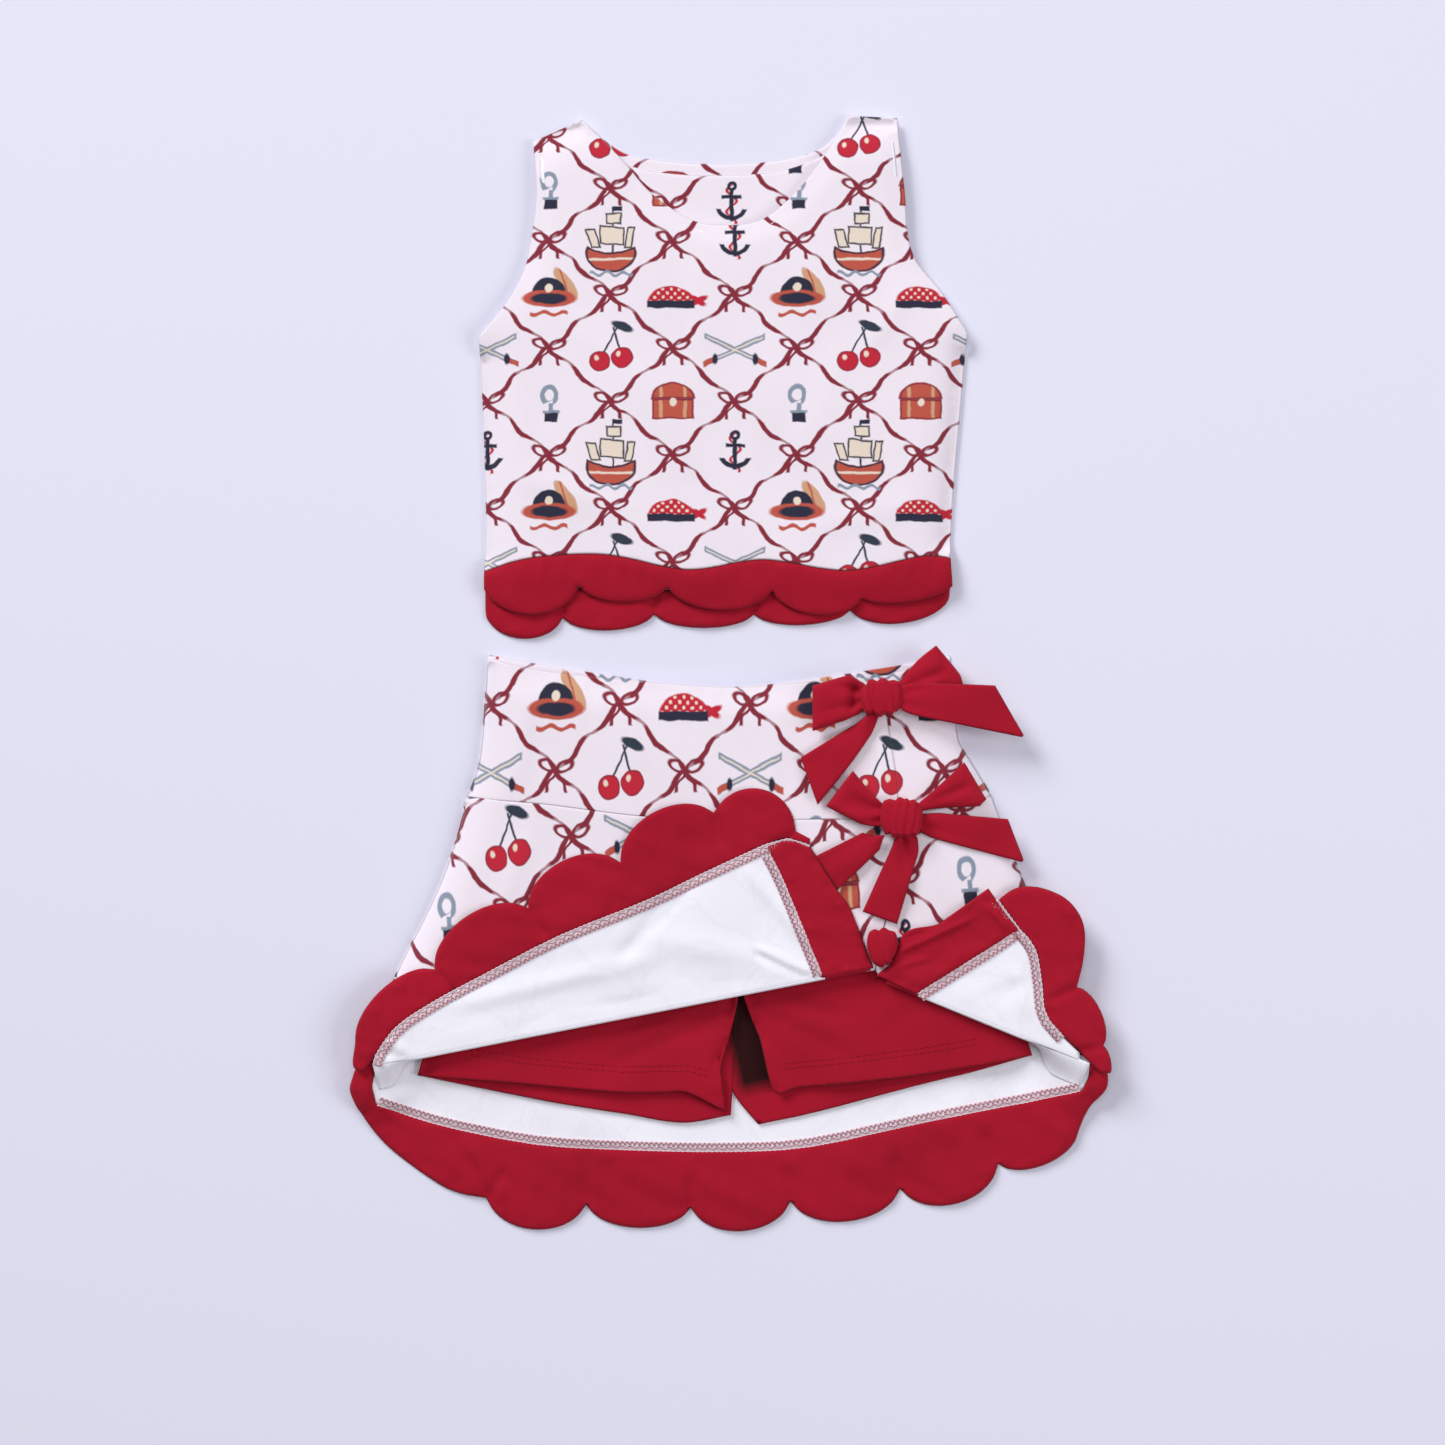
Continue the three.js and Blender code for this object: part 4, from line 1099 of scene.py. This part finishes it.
def tieKnot(name, lean, wraps, scale, taper, round, moved=(0, 0)):  # a few turns of tie pulled tight
    low, high = (np.array(c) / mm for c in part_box(nodeOf(name)))
    bpy.ops.object.select_all(action="DESELECT")
    bpy.ops.mesh.primitive_cube_add(size=2, location=(0, 0, 0))
    piece = bpy.context.object
    piece.name = piece.data.name = name
    bpy.ops.object.mode_set(mode="EDIT")
    bpy.ops.mesh.select_all(action="SELECT")
    bpy.ops.mesh.subdivide(number_cuts=22)
    bpy.ops.transform.tosphere(value=round)
    bpy.ops.object.mode_set(mode="OBJECT")
    points = np.zeros(len(piece.data.vertices) * 3)
    piece.data.vertices.foreach_get("co", points)
    points = points.reshape(-1, 3)
    points /= np.abs(points).max(axis=0)
    across = points[:, 0] * math.sin(lean) + points[:, 1] * math.cos(lean)
    along = points[:, 0] * math.cos(lean) - points[:, 1] * math.sin(lean)
    dent = np.zeros(len(points))
    for place, width, depth, bow in wraps:
        dent += 0.8 * depth * np.exp(-(((across - place - bow * along ** 2) / width) ** 2))
    points *= (1 - dent)[:, None]
    points[:, 0] *= scale * (1 + taper * points[:, 1])
    points[:, 1] *= scale
    points = (low + high) / 2 + points * (high - low) / 2 + np.array((*moved, 0))
    piece.data.vertices.foreach_set("co", (points * mm).ravel())
    piece.data.materials.append(finish["redJersey"])
    piece.data.polygons.foreach_set("use_smooth", np.ones(len(piece.data.polygons), dtype=bool))
    mapCloth(piece.data, points[:, :2])
    piece.data.update()
    return settle(piece, "skirt", [nodeOf(name)])


made["upperBowKnot"] = tieKnot("upperBowKnot", 1.35, ((-0.7, 0.13, 0.2, 0.1), (-0.25, 0.1, 0.1, 0.2),
                                                      (0.2, 0.12, 0.13, -0.16), (0.62, 0.12, 0.14, -0.1)),
                               1.02, 0.06, 0.62)
made["middleBowKnot"] = tieKnot("middleBowKnot", 1.75, ((-0.6, 0.12, 0.18, 0.14), (-0.15, 0.12, 0.13, 0.1),
                                                        (0.3, 0.12, 0.16, -0.06), (0.7, 0.1, 0.12, -0.1)),
                                1.02, 0.05, 0.62)
made["lowerBowKnot"] = tieKnot("lowerBowKnot", 1.3, ((-0.05, 0.16, 0.18, 0.1), (0.7, 0.16, 0.1, -0.1)), 1.5,
                               0.2, 0.8, (-0.4, -3.4))

print("stage: bows made")

# Overlocked edges and seam allowances.
overlock = {"thread": 0.24, "lift": 0.45, "base": 0.35, "step": 1.45}


def walkedAlong(points):  # length walked from the start to each point
    return np.concatenate(([0], np.cumsum(np.linalg.norm(np.diff(points, axis=0), axis=1))))


def placesAt(points, at):  # places on a line, by the length walked
    walked = walkedAlong(points)
    return np.column_stack([np.interp(at, walked, points[:, k]) for k in range(2)])


def evenly(points, count):
    return placesAt(points, np.linspace(0, walkedAlong(points)[-1], count))


def stripLine(node, step):  # middle line of a narrow strip, from one end to the other
    loop = outlineOf(node)
    count = len(loop)
    turns = [abs(turnAt(loop, i)) for i in range(count)]

    def blunt(i):  # a short edge between two corners is an end of the strip
        following = (i + 1) % count
        return 0.02 * np.linalg.norm(loop[following] - loop[i]) - turns[i] - turns[following]

    ends = sorted(range(count), key=blunt)
    first = ends[0]
    second = next(i for i in ends[1:] if min((i - first) % count, (first - i) % count) > 1)
    sideA = [loop[(first + 1 + k) % count] for k in range((second - first - 1) % count + 1)]
    sideB = [loop[(second + 1 + k) % count] for k in range((first - second - 1) % count + 1)][::-1]

    sideA, sideB = (evenly(np.array(side), 160) for side in (sideA, sideB))
    middle = (sideA + sideB) / 2
    width = float(np.median(np.linalg.norm(sideA - sideB, axis=1)))
    return evenly(middle, max(int(walkedAlong(middle)[-1] / step), 4)), width


def threadTube(points, radius):  # a four-sided thread through the points
    points = np.array(points)
    ahead = np.gradient(points, axis=0)
    ahead /= np.maximum(np.linalg.norm(ahead, axis=1, keepdims=True), 1e-9)
    side = np.cross(ahead, (0, 0, 1.0))
    side /= np.maximum(np.linalg.norm(side, axis=1, keepdims=True), 1e-9)
    up = np.cross(side, ahead)
    ring = [points + radius * (side * math.cos(t) + up * math.sin(t)) for t in (0, math.pi / 2, math.pi,
            1.5 * math.pi)]
    vertices = np.stack(ring, axis=1).reshape(-1, 3)
    faces = [(4 * i + k, 4 * i + (k + 1) % 4, 4 * i + 4 + (k + 1) % 4, 4 * i + 4 + k)
             for i in range(len(points) - 1) for k in range(4)]
    last = 4 * (len(points) - 1)
    return vertices, faces + [(3, 2, 1, 0), (last, last + 1, last + 2, last + 3)]


overlockEnds = {"frontFlapSlitOverlock": (((22, -104), 13), ((56, -184), 4)),
                "sideFlapSlitOverlock": (((173, -153), 12), ((109, -195), 5)),
                "backHemOverlock": (((-213, -258), 8), ((214, -249), 7)),
                "frontFlapHemOverlock": (((-213, -235), 6),)}


def overlocked(name, lay, body, bandNode):
    line, width = stripLine(nodeOf(name), overlock["step"])
    for place, more in overlockEnds.get(name, ()):  # runs on to meet its neighbour
        if np.linalg.norm(line[0] - place) < np.linalg.norm(line[-1] - place):
            line = line[::-1]
        way = (np.array(place) - line[-1]) / np.linalg.norm(np.array(place) - line[-1])
        line = np.vstack((line, [line[-1] + way * d for d in np.arange(overlock["step"], more,
                overlock["step"])]))
    if bandNode:
        width *= 1.16
    ahead = np.gradient(line, axis=0)
    ahead /= np.maximum(np.linalg.norm(ahead, axis=1, keepdims=True), 1e-9)
    side = np.column_stack((-ahead[:, 1], ahead[:, 0]))
    if bandNode:  # the needle line runs beside the band
        probe = line[::12] + side[::12] * 6
        if inside(probe[:, 0], probe[:, 1], outlineOf(bandNode)).mean() < 0.5:
            side = -side
    half = width / 2
    if bandNode:
        line = line - side * (half - 0.5)  # lies on the lining, its needle line along the seam
    pieces = []
    across = np.array([-half, -half * 0.92, 0, half * 0.92, half])
    rise = np.array([0.0, overlock["base"], overlock["base"], overlock["base"], 0.0])
    base = np.stack([line + side * a for a in across], axis=1)
    heights = lay(base[..., 0].ravel(), base[..., 1].ravel()).reshape(base.shape[:2])
    vertices = np.dstack((base, heights + overlock["lift"] + rise - overlock["base"] - 0.05)).reshape(-1, 3)
    rows, wide = len(line), len(across)
    faces = [(i * wide + k, (i + 1) * wide + k, (i + 1) * wide + k + 1, i * wide + k + 1)
             for i in range(rows - 1) for k in range(wide - 1)]
    low = vertices.copy()
    low[:, 2] = np.maximum(low[:, 2] - 0.3, 0.03)
    shift = len(vertices)
    under = [tuple(shift + i for i in f[::-1]) for f in faces]
    rim = list(range(wide)) + [i * wide + wide - 1 for i in range(1, rows)]
    rim += [(rows - 1) * wide + k for k in range(wide - 2, -1, -1)] + [i * wide for i in range(rows - 2, 0,
            -1)]
    walls = [(a, b, shift + b, shift + a) for a, b in zip(rim, rim[1:] + rim[:1])]
    pieces.append((np.vstack((vertices, low)), faces + under + walls, 0))

    def stitchPath(offsets, lift):
        spots = line + side * np.asarray(offsets)[:, None]
        return np.column_stack((spots, lay(spots[:, 0], spots[:, 1]) + overlock["lift"] + lift))

    swing = np.where(np.arange(rows) % 2 == 0, 1.0, -1.0)
    zigzag = np.where(np.arange(rows) % 4 < 2, 0.5, 0.15)
    for offsets, lift, thick, mark in (((swing * 0.36 - 0.5) * half, 0.24, 1.35, 1),
                                       (-swing * half * 0.86, 0.16, 1.2, 0),
                                       (np.full(rows, half * 0.9) + 0.25 * swing, 0.2, 1.5, 0),
                                       (zigzag * half, 0.26, 0.7, 1)):
        pieces.append((*threadTube(stitchPath(offsets, lift), overlock["thread"] * thick), mark))
    allVertices, allFaces, allMarks = [], [], []
    for vertexSet, faceSet, mark in pieces:
        start = sum(len(v) for v in allVertices)
        allVertices.append(vertexSet)
        allFaces += [tuple(start + i for i in f) for f in faceSet]
        allMarks += [mark] * len(faceSet)
    allVertices = np.vstack(allVertices)
    shorts = name.startswith("shorts")
    materials = ("redJersey" if shorts else "whiteThread", "redThread")
    piece = newPiece(name, allVertices, allFaces, allVertices[:, :2], materials, allMarks)
    outward(piece)
    return settle(piece, body, [nodeOf(name)])


edges = (("backHem", skirtBackTop, "skirt"), ("frontFlapHem", flapTop("front"), "front_flap"),
         ("frontFlapSlit", flapTop("front"), "front_flap"), ("sideFlapHem", flapTop("side"), "side_flap"),
         ("sideFlapSlit", flapTop("side"), "side_flap"), ("topFrontHem", above(topFrontTop, -1.7), "top"),
         ("topBackHem", topBackTop, "top"))
for start, lay, body in edges:
    made[start + "Overlock"] = overlocked(start + "Overlock", lay, body, nodeOf(start + "Band"))
seams = ((("frontYokeOverlock",), above(skirtFrontTop, -1.9), "skirt"),
         (("backYokeOverlock",), skirtBackTop, "skirt"),
         (("topLeftSideSeam", "topRightSideSeam", "leftShoulderSeam", "rightShoulderSeam"),
          above(topBackTop, -0.75), "top"),
         (("skirtLeftSideSeam", "skirtRightSideSeam"), above(skirtBackTop, -0.75), "skirt"),
         (("shortsLeftOutseam", "shortsRightOutseam", "shortsLeftInseam", "shortsRightInseam"),
          above(shortsBackTop, -1.35), "skirt"))
for names, lay, body in seams:
    for name in names:
        made[name] = overlocked(name, lay, body, None)


def twinNeedle(name, line, lay, body):  # two rows of stitches along a hem
    pieces, stitch = [], 3.0
    line = np.array(line, dtype=float)
    starts = np.arange(1, walkedAlong(line)[-1] - stitch, stitch + 0.9)
    for row in (0, 3.2):
        for start in starts:
            spots = placesAt(line, (start, start + stitch / 2, start + stitch))
            spots[:, 1] += row
            z = lay(spots[:, 0], spots[:, 1]) + np.array((-0.05, 0.2, -0.05))
            pieces.append(threadTube(np.column_stack((spots, z)), 0.28))
    vertices = np.vstack([v for v, _ in pieces])
    faces = [tuple(i * len(pieces[0][0]) + k for k in f) for i in range(len(pieces)) for f in pieces[0][1]]
    piece = newPiece(name, vertices, faces, vertices[:, :2], ("redJersey",))
    outward(piece)
    return settle(piece, body, [])


made["leftLegStitches"] = twinNeedle("leftLegStitches", ((-160, -228), (-120, -234), (-64, -239),
                                                         (-25, -238), (-9, -242)), shortsFrontTop, "skirt")
made["rightLegStitches"] = twinNeedle("rightLegStitches", ((32, -237), (75, -233), (114, -228),
                                                           (150, -222)), shortsFrontTop, "skirt")


def elasticRing(name):  # knitted elastic, run through the waist fold
    low, high = (np.array(c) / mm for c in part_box(nodeOf(name)))
    xs = np.linspace(low[0] + 4, high[0] - 4, 130)
    ys = np.linspace(low[1], high[1], 7)
    vertices, faces = [], []
    for y in ys:
        upper = skirtFrontTop(xs, np.full_like(xs, y)) - 2.2
        lower = skirtBackTop(xs, np.full_like(xs, y)) + 0.75
        upper = np.maximum(upper, lower + 0.6)
        wave = 0.12 * np.sin(xs * 1.7)
        rightEnd, leftEnd = (high[0] - 1.5, (upper[-1] + lower[-1]) / 2), (low[0] + 1.5,
                (upper[0] + lower[0]) / 2)
        path = np.vstack((np.column_stack((xs, upper + wave)), (rightEnd,),
                          np.column_stack((xs, lower + wave))[::-1], (leftEnd,)))
        vertices += [(px, y, pz) for px, pz in path]
    around = len(vertices) // len(ys)
    for j in range(len(ys) - 1):
        for i in range(around):
            a, b = j * around + i, j * around + (i + 1) % around
            faces.append((a, b, b + around, a + around))
    vertices = np.array(vertices)
    piece = newPiece(name, vertices, faces, vertices[:, :2], ("waistElastic",))
    outward(piece)
    bpy.ops.object.modifier_add(type="SOLIDIFY")
    piece.modifiers[-1].thickness = 0.45 * mm
    piece.modifiers[-1].offset = 0
    bpy.ops.object.modifier_apply(modifier=piece.modifiers[-1].name)
    return settle(piece, "skirt", [nodeOf(name)])


made["waistElastic"] = elasticRing("waistElastic")
print("stage: seams and elastic made")

# Floor, light and camera.
studio = {"floor": (0.77, 0.765, 0.905), "fill": 0.2, "cameraHeight": 2.2, "focusHeight": 0.008,
          "sensor": 36, "frame": 0.867, "lookAt": (-0.0039, -0.0293)}
lamps = {"leftSoftBox": ((-3.6, 4.3, 3.1), 2.6, 350.0), "rightSoftBox": ((3.6, -0.6, 2.6), 2.4, 76.0),
         "topSoftBox": ((0, 0.35, 2.4), 1.4, 13.0)}
bpy.ops.object.select_all(action="DESELECT")
bpy.ops.mesh.primitive_plane_add(size=8, location=(0, 0, 0))
floor = bpy.context.object
floor.name = "paperFloor"
floorMaterial = bpy.data.materials.new("paleFloor")
floorMaterial.use_nodes = True
floorLook = {"Base Color": (*studio["floor"], 1), "Roughness": 0.9, "Specular IOR Level": 0.1}
for label, value in floorLook.items():
    floorMaterial.node_tree.nodes["Principled BSDF"].inputs[label].default_value = value
floor.data.materials.append(floorMaterial)


def softLight(name, place, size, power):
    bpy.ops.object.light_add(type="AREA", location=place)
    light = bpy.context.object
    light.name = name
    light.data.shape, light.data.size, light.data.energy = "SQUARE", size, power
    light.rotation_euler = (-Vector(place)).to_track_quat("-Z", "Y").to_euler()


for name, (place, size, power) in lamps.items():
    softLight(name, place, size, power)
world = bpy.context.scene.world or bpy.data.worlds.new("studio")
bpy.context.scene.world = world
world.use_nodes = True
world.node_tree.nodes["Background"].inputs[0].default_value = (0.95, 0.96, 1.0, 1)
world.node_tree.nodes["Background"].inputs[1].default_value = studio["fill"]
bpy.context.scene.view_settings.view_transform = "Standard"

bpy.ops.object.camera_add(location=(*studio["lookAt"], studio["cameraHeight"]), rotation=(0, 0, 0))
camera = bpy.context.object
camera.data.sensor_width = studio["sensor"]
camera.data.lens = studio["sensor"] * (studio["cameraHeight"] - studio["focusHeight"]) / studio["frame"]
bpy.context.scene.camera = camera
print("stage: studio set")
